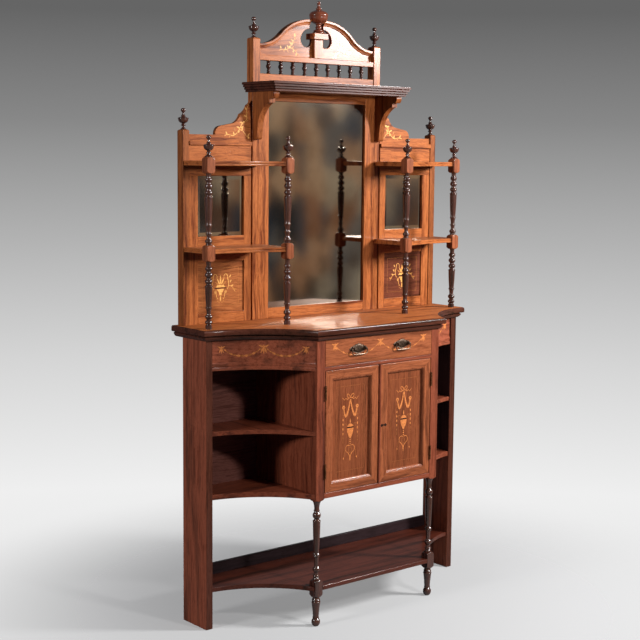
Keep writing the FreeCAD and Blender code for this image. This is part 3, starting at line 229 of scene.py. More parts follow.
def mottled(name, values, scale, detail, stops):
    """A surface whose colour wanders between the stops."""
    material, tree, surface, place = surface_of(name, values)
    patches = add(tree, "ShaderNodeTexNoise", {"Vector": place, "Scale": scale, "Detail": detail})
    tree.links.new(ramp(tree, patches.outputs["Fac"], stops), surface.inputs["Base Color"])
    return material


def darker(hex_colour, share):
    """A colour that keeps a share of its light."""
    return tuple(c * share for c in linear(hex_colour)[:3]) + (1.0,)


def inlay_wood(name, hex_colour):
    """Pale, even inlay wood under the same polish as its ground, with faint grain."""
    return mottled(name, {"Roughness": 0.34, "Coat Weight": 0.15, "Specular IOR Level": 0.1}, 260.0, 3.0,
                   [(0.35, darker(hex_colour, 0.62)), (0.6, hex_colour)])


def old_metal(name, hex_colour, roughness):
    """Aged cast metal, darker in patches."""
    return mottled(name, {"Metallic": 1.0, "Roughness": roughness}, 180.0, 4.0,
                   [(0.38, darker(hex_colour, 0.35)), (0.62, hex_colour)])


def silvered_glass():
    """Old bevelled mirror: darkened silvering with a soft, uneven reflection."""
    return mottled("aged mirror silvering", {"Metallic": 1.0, "Roughness": 0.06}, 9.0, 4.0,
                   [(0.3, "#7F7469"), (0.7, "#90877D")])


def studio_floor():
    """Pale floor that fades out round the object."""
    material, tree, surface, place = surface_of("pale studio floor", {
        "Base Color": linear("#ADADAD"), "Roughness": 0.9, "Specular IOR Level": 0.0})
    far = add(tree, "ShaderNodeVectorMath", {0: place}, operation="LENGTH")
    cover = add(tree, "ShaderNodeMapRange", {
        "Value": far.outputs["Value"], "From Min": 0.5, "From Max": 1.7, "To Min": 0.66, "To Max": 0.0},
        interpolation_type="SMOOTHSTEP")
    tree.links.new(cover.outputs["Result"], surface.inputs["Alpha"])
    return material


# Mesh building

def span(node):
    """Lowest and highest x, depth and z of a node, in millimetres."""
    low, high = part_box(node)
    return ((low.x / MM, high.x / MM), (BACK_EDGE - high.y / MM, BACK_EDGE - low.y / MM),
            (low.z / MM, high.z / MM))


def arc(start, end, bow, count):
    """Points from start along an arc that bows to the left of the way to the end; the end is left out."""
    if not bow:
        return [start]
    (x0, y0), (x1, y1) = start, end
    run, climb = x1 - x0, y1 - y0
    chord = math.hypot(run, climb)
    lean = (bow * bow - chord * chord / 4) / (2 * bow * chord)
    cx, cy = (x0 + x1) / 2 - climb * lean, (y0 + y1) / 2 + run * lean
    first = math.atan2(y0 - cy, x0 - cx)
    sweep = math.atan2(y1 - cy, x1 - cx) - first
    if bow > 0 and sweep > 0:
        sweep -= 2 * math.pi
    if bow < 0 and sweep < 0:
        sweep += 2 * math.pi
    radius = math.hypot(x0 - cx, y0 - cy)
    angles = [first + sweep * i / count for i in range(count)]
    return [(cx + radius * math.cos(a), cy + radius * math.sin(a)) for a in angles]


def trace(corners, count, closed=True):
    """Points along corners (x, y) or (x, y, bow), where bow curves the edge that leaves the corner."""
    points = []
    for index, corner in enumerate(corners):
        if not closed and index == len(corners) - 1:
            points.append(corner[:2])
            break
        following = corners[(index + 1) % len(corners)]
        points += arc(corner[:2], following[:2], corner[2] if len(corner) > 2 else 0, count)
    return points


def loft(rings):
    """Faces between closed rings of points, with a cap at both ends."""
    count = len(rings[0])
    verts = [point for ring in rings for point in ring]
    faces = []
    for low in range(0, len(verts) - count, count):
        high = low + count
        for i in range(count):
            j = (i + 1) % count
            faces.append((low + i, low + j, high + j, high + i))
    faces.append(tuple(range(count - 1, -1, -1)))
    faces.append(tuple(range(len(verts) - count, len(verts))))
    return verts, faces


def finish_piece(name, mesh, body, nodes, smooth=34):
    """Put a mesh into the scene on a body of the frame, in place of the nodes it stands for."""
    mesh.shade_smooth()
    mesh.set_sharp_from_angle(angle=math.radians(smooth))
    made = bpy.data.objects.new(name.replace(" ", "_"), mesh)
    bpy.context.scene.collection.objects.link(made)
    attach(made, body)
    for node in nodes:
        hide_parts(node)
    return made


def piece(name, parts, nodes=(), body=None, smooth=34, slot="rosewood"):
    """One object from (vertices, faces, material) parts, given in millimetres with x, depth and z."""
    bm = bmesh.new()
    materials = []
    for verts, faces, material in parts:
        if material not in materials:
            materials.append(material)
        made = [bm.verts.new((x * MM, (BACK_EDGE - d) * MM, z * MM)) for x, d, z in verts]
        for face in faces:
            shown = bm.faces.new([made[i] for i in face])
            shown.material_index = materials.index(material)
    bmesh.ops.remove_doubles(bm, verts=bm.verts, dist=1e-6)
    bmesh.ops.dissolve_degenerate(bm, edges=bm.edges, dist=1e-7)
    bmesh.ops.recalc_face_normals(bm, faces=bm.faces)
    mesh = bpy.data.meshes.new(name)
    bm.to_mesh(mesh)
    bm.free()
    for material in materials:
        mesh.materials.append(material)
    if nodes:
        body, slot = BODY_OF[nodes[0]], SLOT_OF[nodes[0]]
    return finish_piece(name, mesh, body, nodes, smooth)


def islands(bm):
    """Groups of faces that hang together over edges between two faces only, so boards that touch stay apart."""
    left = set(bm.faces)
    groups = []
    while left:
        group, queue = set(), [left.pop()]
        while queue:
            face = queue.pop()
            group.add(face)
            for edge in face.edges:
                for other in edge.link_faces if len(edge.link_faces) == 2 else ():
                    if other in left:
                        left.remove(other)
                        queue.append(other)
        groups.append(group)
    return groups


def dress(node, wood_name, edge="edge", right_wood=None, front_wood=None):
    """Boards cut as the frame has them, with worn edges and grain along each one's length.

    A second wood takes the boards on the right, or the faces that look forward.
    """
    second_wood = right_wood or front_wood
    bm = bmesh.new()
    bm.from_mesh(frame["nodes"][node].data)
    bmesh.ops.remove_doubles(bm, verts=bm.verts, dist=1e-5)
    for group in islands(bm):
        points = [vert.co for face in group for vert in face.verts]
        sizes = [max(p[i] for p in points) - min(p[i] for p in points) for i in range(3)]
        axis = 0 if sizes[0] > 0.85 * max(sizes) else sizes.index(max(sizes))
        for face in group:
            second = points[0].x > 0 if right_wood else front_wood and face.normal.y < -0.9
            face.material_index = axis + (3 if second else 0)
    bmesh.ops.dissolve_limit(
        bm, angle_limit=math.radians(0.5), verts=bm.verts, edges=bm.edges, delimit={"MATERIAL"})
    bmesh.ops.triangulate(bm, faces=[face for face in bm.faces if len(face.verts) > 12])
    bmesh.ops.split_edges(bm, edges=[edge for edge in bm.edges if len(edge.link_faces) > 2])
    mesh = bpy.data.meshes.new(node)
    bm.to_mesh(mesh)
    bm.free()
    if "custom_normal" in mesh.attributes:
        mesh.attributes.remove(mesh.attributes["custom_normal"])
    for material in grains(wood_name) + (grains(second_wood) if second_wood else []):
        mesh.materials.append(material)
    made = finish_piece(f"{node} boards", mesh, BODY_OF[node], [node])
    bevel = made.modifiers.new("worn edges", "BEVEL")
    bevel.width = getattr(bpy.context.scene.sideboard_pieces, edge)
    bevel.segments = 2
    bevel.limit_method = "ANGLE"
    bevel.angle_limit = math.radians(32)
    even = made.modifiers.new("even shading", "WEIGHTED_NORMAL")
    even.keep_sharp = True
    even.weight = 90


def layered(plan, rows):
    """A moulded edge: the plan drawn at each (inset, height) row."""
    return loft([[(x, d, z) for x, d in plan(inset)] for inset, z in rows])


def profile(low, radius, steps):
    """Rows (height, radius) of a turned profile from (rise, radius, swell) steps above a first radius."""
    corners = [(radius, low)]
    for rise, next_radius, *swell in steps:
        low += rise
        if swell:
            corners[-1] = (*corners[-1], -swell[0])
        corners.append((next_radius, low))
    return [(z, r) for r, z in trace(corners, closed=False, count=7)]


def block(low, high, half, shoulder):
    """Rows of a square block whose ends are turned to shoulders."""
    reach = half * math.sqrt(2)
    seat = half * 0.93
    turns = [(i / 6, seat + (reach - seat) * math.sin(math.pi / 2 * i / 6)) for i in range(7)]
    rows = [(low + shoulder * t, r, half) for t, r in turns]
    return rows + [(high - shoulder * t, r, half) for t, r in reversed(turns)]


def turning(rows, x, d):
    """A turned piece round an upright axis; a row with a third value is squared off to that half width."""
    sides = bpy.context.scene.sideboard_pieces.sides
    rings = []
    for z, radius, *half in rows:
        ring = []
        for i in range(sides):
            c, s = math.cos(2 * math.pi * i / sides), math.sin(2 * math.pi * i / sides)
            reach = min(radius, half[0] / max(abs(c), abs(s))) if half else radius
            ring.append((x + reach * c, d + reach * s, z))
        rings.append(ring)
    return loft(rings)


def both(part):
    """A part and its mirror image on the other side."""
    verts, faces, material = part
    return [part, ([(-x, d, z) for x, d, z in verts], faces, material)]


def drawn_in(across, height, inset):
    """The four corners of a rectangle that is smaller by an inset all round."""
    (x0, x1), (z0, z1) = across, height
    x0, x1, z0, z1 = x0 + inset, x1 - inset, z0 + inset, z1 - inset
    return [(x0, z0), (x1, z0), (x1, z1), (x0, z1)]


def frame_ring(across, height, rows):
    """A mitred moulding round a rectangle from (inset, depth) rows of its section."""
    rings = list(zip(*[[(x, d, z) for x, z in drawn_in(across, height, inset)] for inset, d in rows]))
    verts, faces = loft(rings + rings[:1])
    return verts, faces[:-2]


def normals(points):
    """Every point of a line with the unit vector to its left."""
    for i, (x, z) in enumerate(points):
        before, after = points[max(i - 1, 0)], points[min(i + 1, len(points) - 1)]
        dx, dz = after[0] - before[0], after[1] - before[1]
        size = math.hypot(dx, dz)
        yield x, z, -dz / size, dx / size


# Inlay drawing

class Marquetry:
    """A flat pattern of (across, up) points, measured from its own origin.

    It holds cut pieces (ring, wood number) and strips (left edge, right edge, wood number).
    """

    def __init__(self, across=0, up=0):
        self.across, self.up = across, up
        self.pieces = []
        self.strips = []

    def leaf(self, x, z, angle, length, width, shade=0):
        """A pointed leaf or husk that grows from x, z at an angle in degrees."""
        turn = math.radians(angle)
        c, s = math.cos(turn), math.sin(turn)
        side = [(length * t, width / 2 * math.sin(math.pi * t ** 0.8)) for t in (0, 0.15, 0.35, 0.6, 0.82, 1)]
        ring = side + [(a, -b) for a, b in reversed(side[1:-1])]
        self.pieces.append(([(x + a * c - b * s, z + a * s + b * c) for a, b in ring], shade))

    def disc(self, x, z, radius, shade=0):
        turns = [2 * math.pi * i / 16 for i in range(16)]
        self.pieces.append(([(x + radius * math.cos(a), z + radius * math.sin(a)) for a in turns], shade))

    def shape(self, points, shade=0):
        self.pieces.append((points, shade))

    def line(self, points, first, last, shade=0):
        """A strip along points whose width runs from first to last."""
        left, right = [], []
        for i, (x, z, out_x, out_z) in enumerate(normals(points)):
            half = (first + (last - first) * i / (len(points) - 1)) / 2
            left.append((x + out_x * half, z + out_z * half))
            right.append((x - out_x * half, z - out_z * half))
        self.strips.append((left, right, shade))

    def rectangle(self, x0, x1, z0, z1, width):
        """Stringing round a rectangle, as one strip that closes on itself."""
        outer, inner = [drawn_in((x0, x1), (z0, z1), inset) for inset in (0, width)]
        self.strips.append((outer + outer[:1], inner + inner[:1], 1))

    def leaves(self, rows, length, width):
        """Leaves at (x, z, angle), light and shaded by turns."""
        for i, (x, z, angle) in enumerate(rows):
            self.leaf(x, z, angle, length, width, i % 2)

    def husks(self, points, count, length, width):
        """A chain of husks along a line of points, larger towards the middle."""
        steps = len(points) - 1
        for i in range(count):
            spot = steps * (i + 0.5) / count
            index = min(int(spot), steps - 1)
            (x0, z0), (x1, z1) = points[index], points[index + 1]
            x, z = x0 + (x1 - x0) * (spot - index), z0 + (z1 - z0) * (spot - index)
            angle = math.degrees(math.atan2(z1 - z0, x1 - x0))
            back = math.radians(angle)
            grow = 0.75 + 0.5 * math.sin(math.pi * (i + 0.5) / count)
            half = length / 2 * grow
            self.leaf(x - half * math.cos(back), z - half * math.sin(back), angle, length * grow, width * grow,
                      i % 2)

    def bow(self, x, z, size):
        """A ribbon bow cut from eight leaves, with a knot."""
        self.leaf(x, z, 90, size * 0.5, size * 0.3)
        self.leaf(x, z, -90, size * 1.3, size * 0.3)
        for angle, length, shade in ((24, 1.05, 0), (-30, 0.85, 1), (-62, 1.25, 0)):
            for turn in (angle, 180 - angle):
                self.leaf(x, z, turn, size * length, size * 0.32, shade)
        self.disc(x, z, size * 0.16)

    def garland(self, bows, bow_height, hang_height, gap, sag, width, husks):
        """Bows (place, size) with a strip and husks (count, length, width) hung between each two."""
        for x, size in bows:
            self.bow(x, bow_height, size)
        for (x0, _), (x1, _) in zip(bows, bows[1:]):
            path = swag(x0 + gap, x1 - gap, hang_height, sag)
            self.line(path, width, width)
            self.husks(path, *husks)

    def mirror(self):
        """Add everything so far again on the other side of the origin."""
        for ring, shade in list(self.pieces):
            self.pieces.append(([(-a, b) for a, b in reversed(ring)], shade))
        for left, right, shade in list(self.strips):
            self.strips.append((*[[(-a, b) for a, b in edge] for edge in (right, left)], shade))


def curve(p0, p1, p2, p3, count):
    """Points along a cubic curve."""
    points = []
    for i in range(count + 1):
        t = i / count
        u = 1 - t
        weights = (u ** 3, 3 * u * u * t, 3 * u * t * t, t ** 3)
        points.append(tuple(sum(w * p[k] for w, p in zip(weights, (p0, p1, p2, p3))) for k in range(2)))
    return points


def swag(x0, x1, z, sag):
    """A hanging curve between two places at one height."""
    run, dip = x1 - x0, sag * 1.33
    return curve((x0, z), (x0 + run * 0.25, z - dip), (x0 + run * 0.75, z - dip), (x1, z), 18)


def inlay_materials(pale):
    """Light, shaded and black inlay woods; the light and shaded woods are paler on the upper part than on the
    lower part, which paints in the brighter light that falls on the upper part.
    """
    names = [("pale boxwood inlay", "#E4A55B"), ("pale satinwood inlay", "#B9783C")] if pale else [
        ("boxwood inlay", "#C87842"), ("shaded satinwood inlay", "#97582F")]
    return [bpy.data.materials.get(name) or inlay_wood(name, colour)
            for name, colour in (*names, ("ebony inlay", "#19100F"))]


def inlay(name, pattern, to_space, body, pale=False):
    """Set a pattern into a surface: to_space gives x, depth and z for (across, up, rise)."""
    rise = bpy.context.scene.sideboard_pieces.inlay_rise / MM
    woods = inlay_materials(pale)
    # Each piece lies a hair above or below the next, so that none shares a plane with one it crosses
    sunk, hair, levels = -0.1, 0.005, 9

    def edge(points, out):
        return [to_space(pattern.across + a, pattern.up + b, out) for a, b in points]

    parts = []
    for index, (ring, shade) in enumerate(pattern.pieces):
        parts.append((*loft([edge(ring, sunk), edge(ring, rise + hair * (index % levels))]), woods[shade]))
    for index, (left, right, shade) in enumerate(pattern.strips):
        lift = rise - hair * (1 + index % levels)
        verts, faces = loft(list(zip(edge(left, sunk), edge(right, sunk), edge(right, lift), edge(left, lift))))
        parts.append((verts, faces[:-2] if left[0] == left[-1] else faces, woods[shade]))
    return piece(name, parts, body=body, slot="inlay_wood")


def flat_front(face, way=1):
    """A mapping on to an upright front face at a depth, turned left for right where way is -1."""
    return lambda across, up, rise: (way * across, face + rise, up)


# Operators

class SideboardStep:
    """What every building step shares: it builds with the settings of the scene and reports that it is done."""

    bl_options = {"REGISTER", "UNDO"}

    def execute(self, context):
        self.build(context.scene.sideboard_pieces)
        return {"FINISHED"}


class SIDEBOARD_OT_base(SideboardStep, bpy.types.Operator):
    """Boards of the lower cabinet: sides, back, walls, shelves and pot board"""
    bl_idname = "sideboard.base"
    bl_label = "Base boards"

    def build(self, settings):
        for side, _ in SIDES:
            # The front faces of the side panels take the dark wood, which paints in shade on them
            dress(f"side_panel_{side}", "flank rosewood", front_wood="nosing rosewood")
        for node in ("cupboard_walls", "carcase_bottom", "wing_shelves", "cupboard_shelf", "drawer_rail"):
            dress(node, "carcase rosewood")
        # The pot board's darker wood paints in the shade under the cupboard
        dress("pot_board", "base rosewood")
        dress("carcase_back", "shadowed back board")
        dress("pot_board_upstand", "ebonised lining")
        self.linings()
        dress("drawer_runners", "drawer lining")

    def linings(self):
        """Dark sheets on the inner faces of the outer side panels: painted shade inside the wings."""
        (_, wall), (near, _), (shelf_low, shelf_high) = span("wing_shelves")
        far = span("side_panel_right")[1][1] - 2
        floor, ceiling = span("carcase_bottom")[2][1], span("carcase_back")[2][1]
        thick = 0.6
        parts = []
        for height in ((floor, shelf_low), (shelf_high, ceiling)):
            rings = [[(wall - inset, d, z) for d, z in drawn_in((near, far), height, inset)]
                     for inset in (0, thick)]
            parts += both((*loft(rings), wood("ebonised lining", 2)))
        piece("dark linings inside the wings", parts, body="case")


class SIDEBOARD_OT_top(SideboardStep, bpy.types.Operator):
    """Shaped top with a rounded nosing over an ogee moulding"""
    bl_idname = "sideboard.top"
    bl_label = "Moulded top"

    def build(self, settings):
        (_, right), (_, front), (low, high) = span("top_board")
        base = span("top_moulding")[2][0]
        # Half of the straight front, depth of the ends and hollow of the wings
        middle, ends, bow = 300, 195, 54

        def plan(inset):
            half, near, far = right - inset, ends - inset, front - inset
            return trace([(-half, 0), (-half, near, -bow), (inset - middle, far), (middle - inset, far, -bow),
                          (half, near), (half, 0)], count=24)

        nosing = [(3.0, low), (0.8, low + 1.2), (0, low + 3.5), (0, high - 7), (0.7, high - 3.6),
                  (2.2, high - 1.4), (5.0, high)]
        # The nosing and the ogee under the top take the dark wood, which paints in shade on them; the top face
        # keeps the polished colour
        dark = wood("nosing rosewood", 0)
        verts, faces = layered(plan, nosing)
        piece("top board with nosing", [(verts, faces[:-1], dark), (verts, faces[-1:], wood("top rosewood", 0))],
              ["top_board"])
        ogee = [(inset, base + rise) for inset, rise in (
            (17, 0), (16, 2), (13.6, 2.6), (12.6, 5), (10.6, 7.5), (9.4, 10), (9.2, 12.4), (10.4, 13.8),
            (12.6, 14.4), (12.6, 16.4), (9.2, 17), (9.2, 18))]
        piece("ogee moulding under the top", [(*layered(plan, ogee), dark)], ["top_moulding"])


class SIDEBOARD_OT_friezes(SideboardStep, bpy.types.Operator):
    """Hollow wing friezes with swags of husks between bows"""
    bl_idname = "sideboard.friezes"
    bl_label = "Wing friezes"

    def build(self, settings):
        (_, right), _, (low, high) = span("wing_friezes")
        inner = span("leg_post_right")[0][1]
        # Depth at the inner and the outer end, hollow, thickness, flare of the back, inset of the inlaid ground
        near, far, bow, thick, flare, ground = 380, 169, 44, 16, 28, 3

        def plan(inset):
            return trace([(inner, near - inset, -bow), (right, far - inset), (right, far - thick, bow),
                          (inner, near - thick - flare)], count=24)

        rows = [(inset, low + rise) for inset, rise in (
            (0.9, 0), (0, 1.2), (0, 10), (0.8, 11.6), (2.6, 12.2), (2.6, 14), (1.2, 14.6), (0.6, 18), (0.6, 24),
            (1.4, 27.6), (ground, 28.6))] + [(ground, high)]
        front = (*layered(plan, rows), wood("flank rosewood", 0))
        piece("hollow wing friezes", both(front), ["wing_friezes"])
        path = arc((inner, near - ground), (right, far - ground), -bow, 64) + [(right, far - ground)]
        reach = [0.0]
        for (x0, d0), (x1, d1) in zip(path, path[1:]):
            reach.append(reach[-1] + math.hypot(x1 - x0, d1 - d0))

        def to_curve(way):
            def place(across, up, rise):
                index = next((i for i in range(1, len(reach) - 1) if reach[i] >= across), len(reach) - 1)
                (x0, d0), (x1, d1) = path[index - 1], path[index]
                share = (across - reach[index - 1]) / (reach[index] - reach[index - 1])
                size = math.hypot(x1 - x0, d1 - d0)
                out_x, out_d = -(d1 - d0) / size, (x1 - x0) / size
                return way * (x0 + (x1 - x0) * share + out_x * rise), d0 + (d1 - d0) * share + out_d * rise, up
            return place

        bows = [(reach[-1] * share, size) for share, size in ((0.1, 15), (0.5, 19), (0.9, 15))]
        pattern = Marquetry()
        pattern.garland(bows, high - 28, high - 30, 8, 27, 2.2, (11, 12, 6.6))
        for side, way in SIDES:
            inlay(f"swag inlay on the {side} frieze", pattern, to_curve(way), "case")


class SIDEBOARD_OT_legs(SideboardStep, bpy.types.Operator):
    """Square posts turned into legs below the cupboard, with ball feet"""
    bl_idname = "sideboard.legs"
    bl_label = "Turned legs"

    def build(self, settings):
        (x0, x1), (d0, d1), (_, top) = span("leg_post_right")
        half, foot_top, block_top, cupboard = 17.5, 104, 164, 440
        x, d = (x0 + x1) / 2, (d0 + d1) / 2
        foot = profile(0, 8, [
            (28, 9.2, 6.6), (3, 11.2, 0.8), (2, 10.4), (50, 15, -0.8), (5, 13, 1.4), (2, 12.2), (5, 13, 1.6),
            (9, 11)])
        middle = profile(block_top, 10, [
            (3, 12, 0.8), (3, 11), (3, 8.5), (10, 8.5, 3.2), (4, 8, -0.4), (4, 8), (19, 8.4, 5.0), (5, 7.6, -0.3),
            (28, 8.2), (4, 11.5, 1.0), (3, 10), (4, 12, 1.2), (4, 9), (110, 13, 0.6), (3, 13.6, 0.6), (3, 9.4),
            (4, 8.4, -0.3), (22, 9, 5.4), (3, 8), (3, 10.8, 0.8), (2, 9), (32, 15, -2.4)])
        dark, plain = wood("turned rosewood", 2), wood("carcase rosewood", 2)
        square = block(cupboard, top, half, 6)[:7] + [(top, half * 1.5, half)]
        plinth = block(foot_top, block_top, half - 1.5, 9)
        parts = [(foot, dark), (plinth, dark), (middle, dark), (square, plain)]
        for side, way in reversed(SIDES):
            piece(f"turned leg {side}", [(*turning(rows, x * way, d), material) for rows, material in parts],
                  [f"leg_post_{side}"])


class SIDEBOARD_OT_drawer(SideboardStep, bpy.types.Operator):
    """Drawer box with an inlaid front"""
    bl_idname = "sideboard.drawer"
    bl_label = "Drawer"

    def build(self, settings):
        for node in ("drawer_sides", "drawer_back", "drawer_bottom"):
            dress(node, "drawer lining")
        dress("drawer_front", "door rosewood")
        (left, right), (_, face), (low, high) = span("drawer_front")
        string = settings.string_width / MM
        pattern = Marquetry()
        pattern.line([(left + 12, low + 9), (right - 12, low + 9)], string, string, 1)
        reach, bow_size = 207, 16
        bows = [(x, bow_size) for x in (-reach, 0, reach)]
        pattern.garland(bows, high - 20, high - 26, 6, 34, 1.8, (13, 11, 5.6))
        inlay("swag inlay on the drawer", pattern, flat_front(face), "drawer")


class SIDEBOARD_OT_handles(SideboardStep, bpy.types.Operator):
    """Cast drop handles: cusped plates, turned posts and swelling bails"""
    bl_idname = "sideboard.handles"
    bl_label = "Drop handles"

    def build(self, settings):
        bronze = old_metal("dark patinated bronze", "#54453A", 0.42)
        bright = old_metal("rubbed bronze", "#7C6A5C", 0.34)
        _, (face, front), (low, high) = span("handle_plates")
        middle, post_reach = 102, 25
        z0 = (low + high) / 2
        quarter = [(43, 0), (37, 3.4), (33, 8.2), (27, 7.6), (22, 12.2), (16, 12.0), (11, 16.6), (6, 15.6),
                   (0, 18.5)]
        rim = quarter + [(-x, z) for x, z in reversed(quarter[:-1])]
        rim = rim + [(x, -z) for x, z in reversed(rim[1:-1])]
        levels = ((1.0, face), (1.0, face + 0.9), (0.94, front - 0.2), (0.86, front - 0.6), (0.80, front - 0.1),
                  (0.45, front + 0.3))
        post, set_in = turning(profile(0, 4.2, [
            (23, 4.2), (0.5, 7.2, 0.3), (1.5, 5.2), (2, 4.2), (3, 4.8, 1.2), (3.5, 3.6), (2, 4.6, 0.8),
            (2.2, 1.2, 0.8)]), 0, 0), 21
        plates, posts = [], []
        for cx in (-middle, middle):
            rings = [[(cx + x * size, d, z0 + z * size) for x, z in rim] for size, d in levels]
            plates.append((*loft(rings), bronze))
            for px in (cx - post_reach, cx + post_reach):
                verts, faces = post
                posts.append(([(px + x, face - set_in + z, z0 + y) for x, y, z in verts], faces, bronze))
        piece("cusped handle plates", plates, ["handle_plates"], smooth=25)
        piece("turned handle posts", posts, ["handle_posts"])
        for side, way in SIDES:
            piece(f"swelling bail {side}", [(*self.bail(middle * way, z0), bright)], [f"handle_bail_{side}"])

    def bail(self, cx, z0):
        """A rod bent down between the posts, thick at the middle of its grip."""
        d = sum(span("handle_bail_right")[1]) / 2
        path = trace([(-25.5, 0), (-29, 0, -1.5), (-34, -5), (-34, -10, -2.6), (-25, -19), (25, -19, -2.6),
                      (34, -10), (34, -5, -1.5), (29, 0), (25.5, 0)], closed=False, count=6)
        line = []
        for (xa, za), (xb, zb) in zip(path, path[1:]):
            steps = max(1, int(math.hypot(xb - xa, zb - za) / 2.5))
            line += [(xa + (xb - xa) * i / steps, za + (zb - za) * i / steps) for i in range(steps)]
        line.append(path[-1])
        rings = []
        for x, z, out_x, out_z in normals(line):
            radius = 1.8 * (1.0 + (0.4 * math.cos(x / 25 * math.pi / 2) if z < -17 else 0.0))
            ring = []
            for k in range(12):
                a = 2 * math.pi * k / 12
                out, fore = radius * math.cos(a), radius * math.sin(a)
                ring.append((cx + x + out_x * out, d + fore, z0 + z + out_z * out))
            rings.append(ring)
        return loft(rings)


class SIDEBOARD_OT_doors(SideboardStep, bpy.types.Operator):
    """Mitred door frames, beads, inlaid panels, hinges and lock"""
    bl_idname = "sideboard.doors"
    bl_label = "Doors"

    def build(self, settings):
        brass = old_metal("aged brass", "#6A452E", 0.6)
        for node in ("hinge_leaves_fixed", "hinge_leaves_door_left", "hinge_leaves_door_right", "lock_case",
                     "lock_bolt"):
            material_slots = frame["nodes"][node].data.materials
            material_slots.clear()
            material_slots.append(brass)
        dress("meeting_bead", "carcase rosewood", "fine_edge")
        for side, _ in SIDES:
            dress(f"door_frame_{side}", "door rosewood")
            dress(f"door_panel_{side}", "panel rosewood", "fine_edge")
            across, (d0, d1), height = span(f"door_bead_{side}")
            rows = [(0, d0), (0, d1 + 0.6), (1.6, d1 + 0.9), (3, d1), (3.6, d1 - 1.2), (5.4, d1 - 2.2),
                    (6.8, d1 - 4.4), (7.4, d0 + 1.0), (8, d0)]
            bead = (*frame_ring(across, height, rows), wood("door rosewood", 2))
            piece(f"ovolo bead of the {side} door", [bead], [f"door_bead_{side}"])
            inlay(f"urn inlay on the {side} door", self.urn_panel(side, settings),
                  flat_front(span(f"door_panel_{side}")[1][1]), f"door_{side}")
        (x0, x1), (d0, _), (z0, z1) = span("lock_escutcheon")
        keyhole = Marquetry((x0 + x1) / 2, (z0 + z1) / 2)
        for way in (-1, 1):
            keyhole.shape([(0, 0), (way * 9, -6), (way * 15, 0), (way * 9, 6)], 2)
        keyhole.disc(0, 1, 2.4, 2)
        made = inlay("keyhole inlay", keyhole, flat_front(d0), "door_right")
        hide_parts("lock_escutcheon")

    def urn_panel(self, side, settings):
        """Bow, horns, flower discs, husk drops, urn and pendant inside a line of stringing."""
        (x0, x1), _, (z0, z1) = span(f"door_panel_{side}")
        middle, stringing = (x0 + x1) / 2, settings.string_width / MM * 0.8
        art = Marquetry(middle)
        art.line(curve((0, 782), (6, 797), (17, 800), (15, 788), 8), 2.2, 2.2)
        art.line(curve((15, 788), (12, 780), (5, 779), (0, 782), 6), 2.2, 1.8)
        art.line([(8, 781), (15, 776), (21, 781), (27, 775), (36, 784)], 2.6, 2.0)
        art.line(curve((1, 776), (6, 742), (13, 728), (19, 718), 9), 3.6, 8.5)
        art.line(curve((19, 718), (24, 716), (27, 730), (30, 744), 7), 8.5, 4.0)
        art.disc(31, 750, 6.6)
        art.disc(31, 750, 2.4, 1)
        for z, size in ((737, 5), (722, 8), (706, 10), (690, 11), (674, 11), (658, 10), (643, 8), (630, 6)):
            art.leaf(33, z + size / 2, -90, size, size * 0.5, 0 if size > 8 else 1)
            art.disc(33, z - size / 2 - 2, 1.1, 1)
        art.line(curve((15, 686), (24, 700), (30, 690), (22, 680), 7), 1.6, 1.2, 1)
        art.line(curve((2, 614), (16, 622), (26, 606), (17, 594), 9), 2.4, 1.6)
        art.line(curve((17, 594), (10, 592), (5, 586), (1, 576), 7), 2.0, 2.6)
        art.line(curve((1, 610), (10, 604), (8, 594), (0, 588), 6), 1.6, 1.6, 1)
        art.line(curve((21, 600), (27, 594), (25, 584), (29, 574), 6), 1.6, 1.0, 1)
        art.leaf(29, 576, -80, 9, 4)
        art.mirror()
        art.shape([(-15, 675), (15, 675), (13, 662), (8, 650), (2, 640), (-2, 640), (-8, 650), (-13, 662)])
        art.shape([(-15, 679.5), (15, 679.5), (15, 676), (-15, 676)], 2)
        art.shape([(-15, 680.5), (15, 680.5), (10, 687), (4, 691), (-4, 691), (-10, 687)])
        art.leaf(0, 692, 90, 18, 5)
        for z, radius in ((635, 2.2), (628, 2.8), (620, 2.2)):
            art.disc(0, z, radius)
        art.leaf(0, 580, -90, 21, 4.6)
        beside, ends = 27, 32
        art.rectangle(x0 + beside - middle, x1 - beside - middle, z0 + ends, z1 - ends, stringing)
        return art


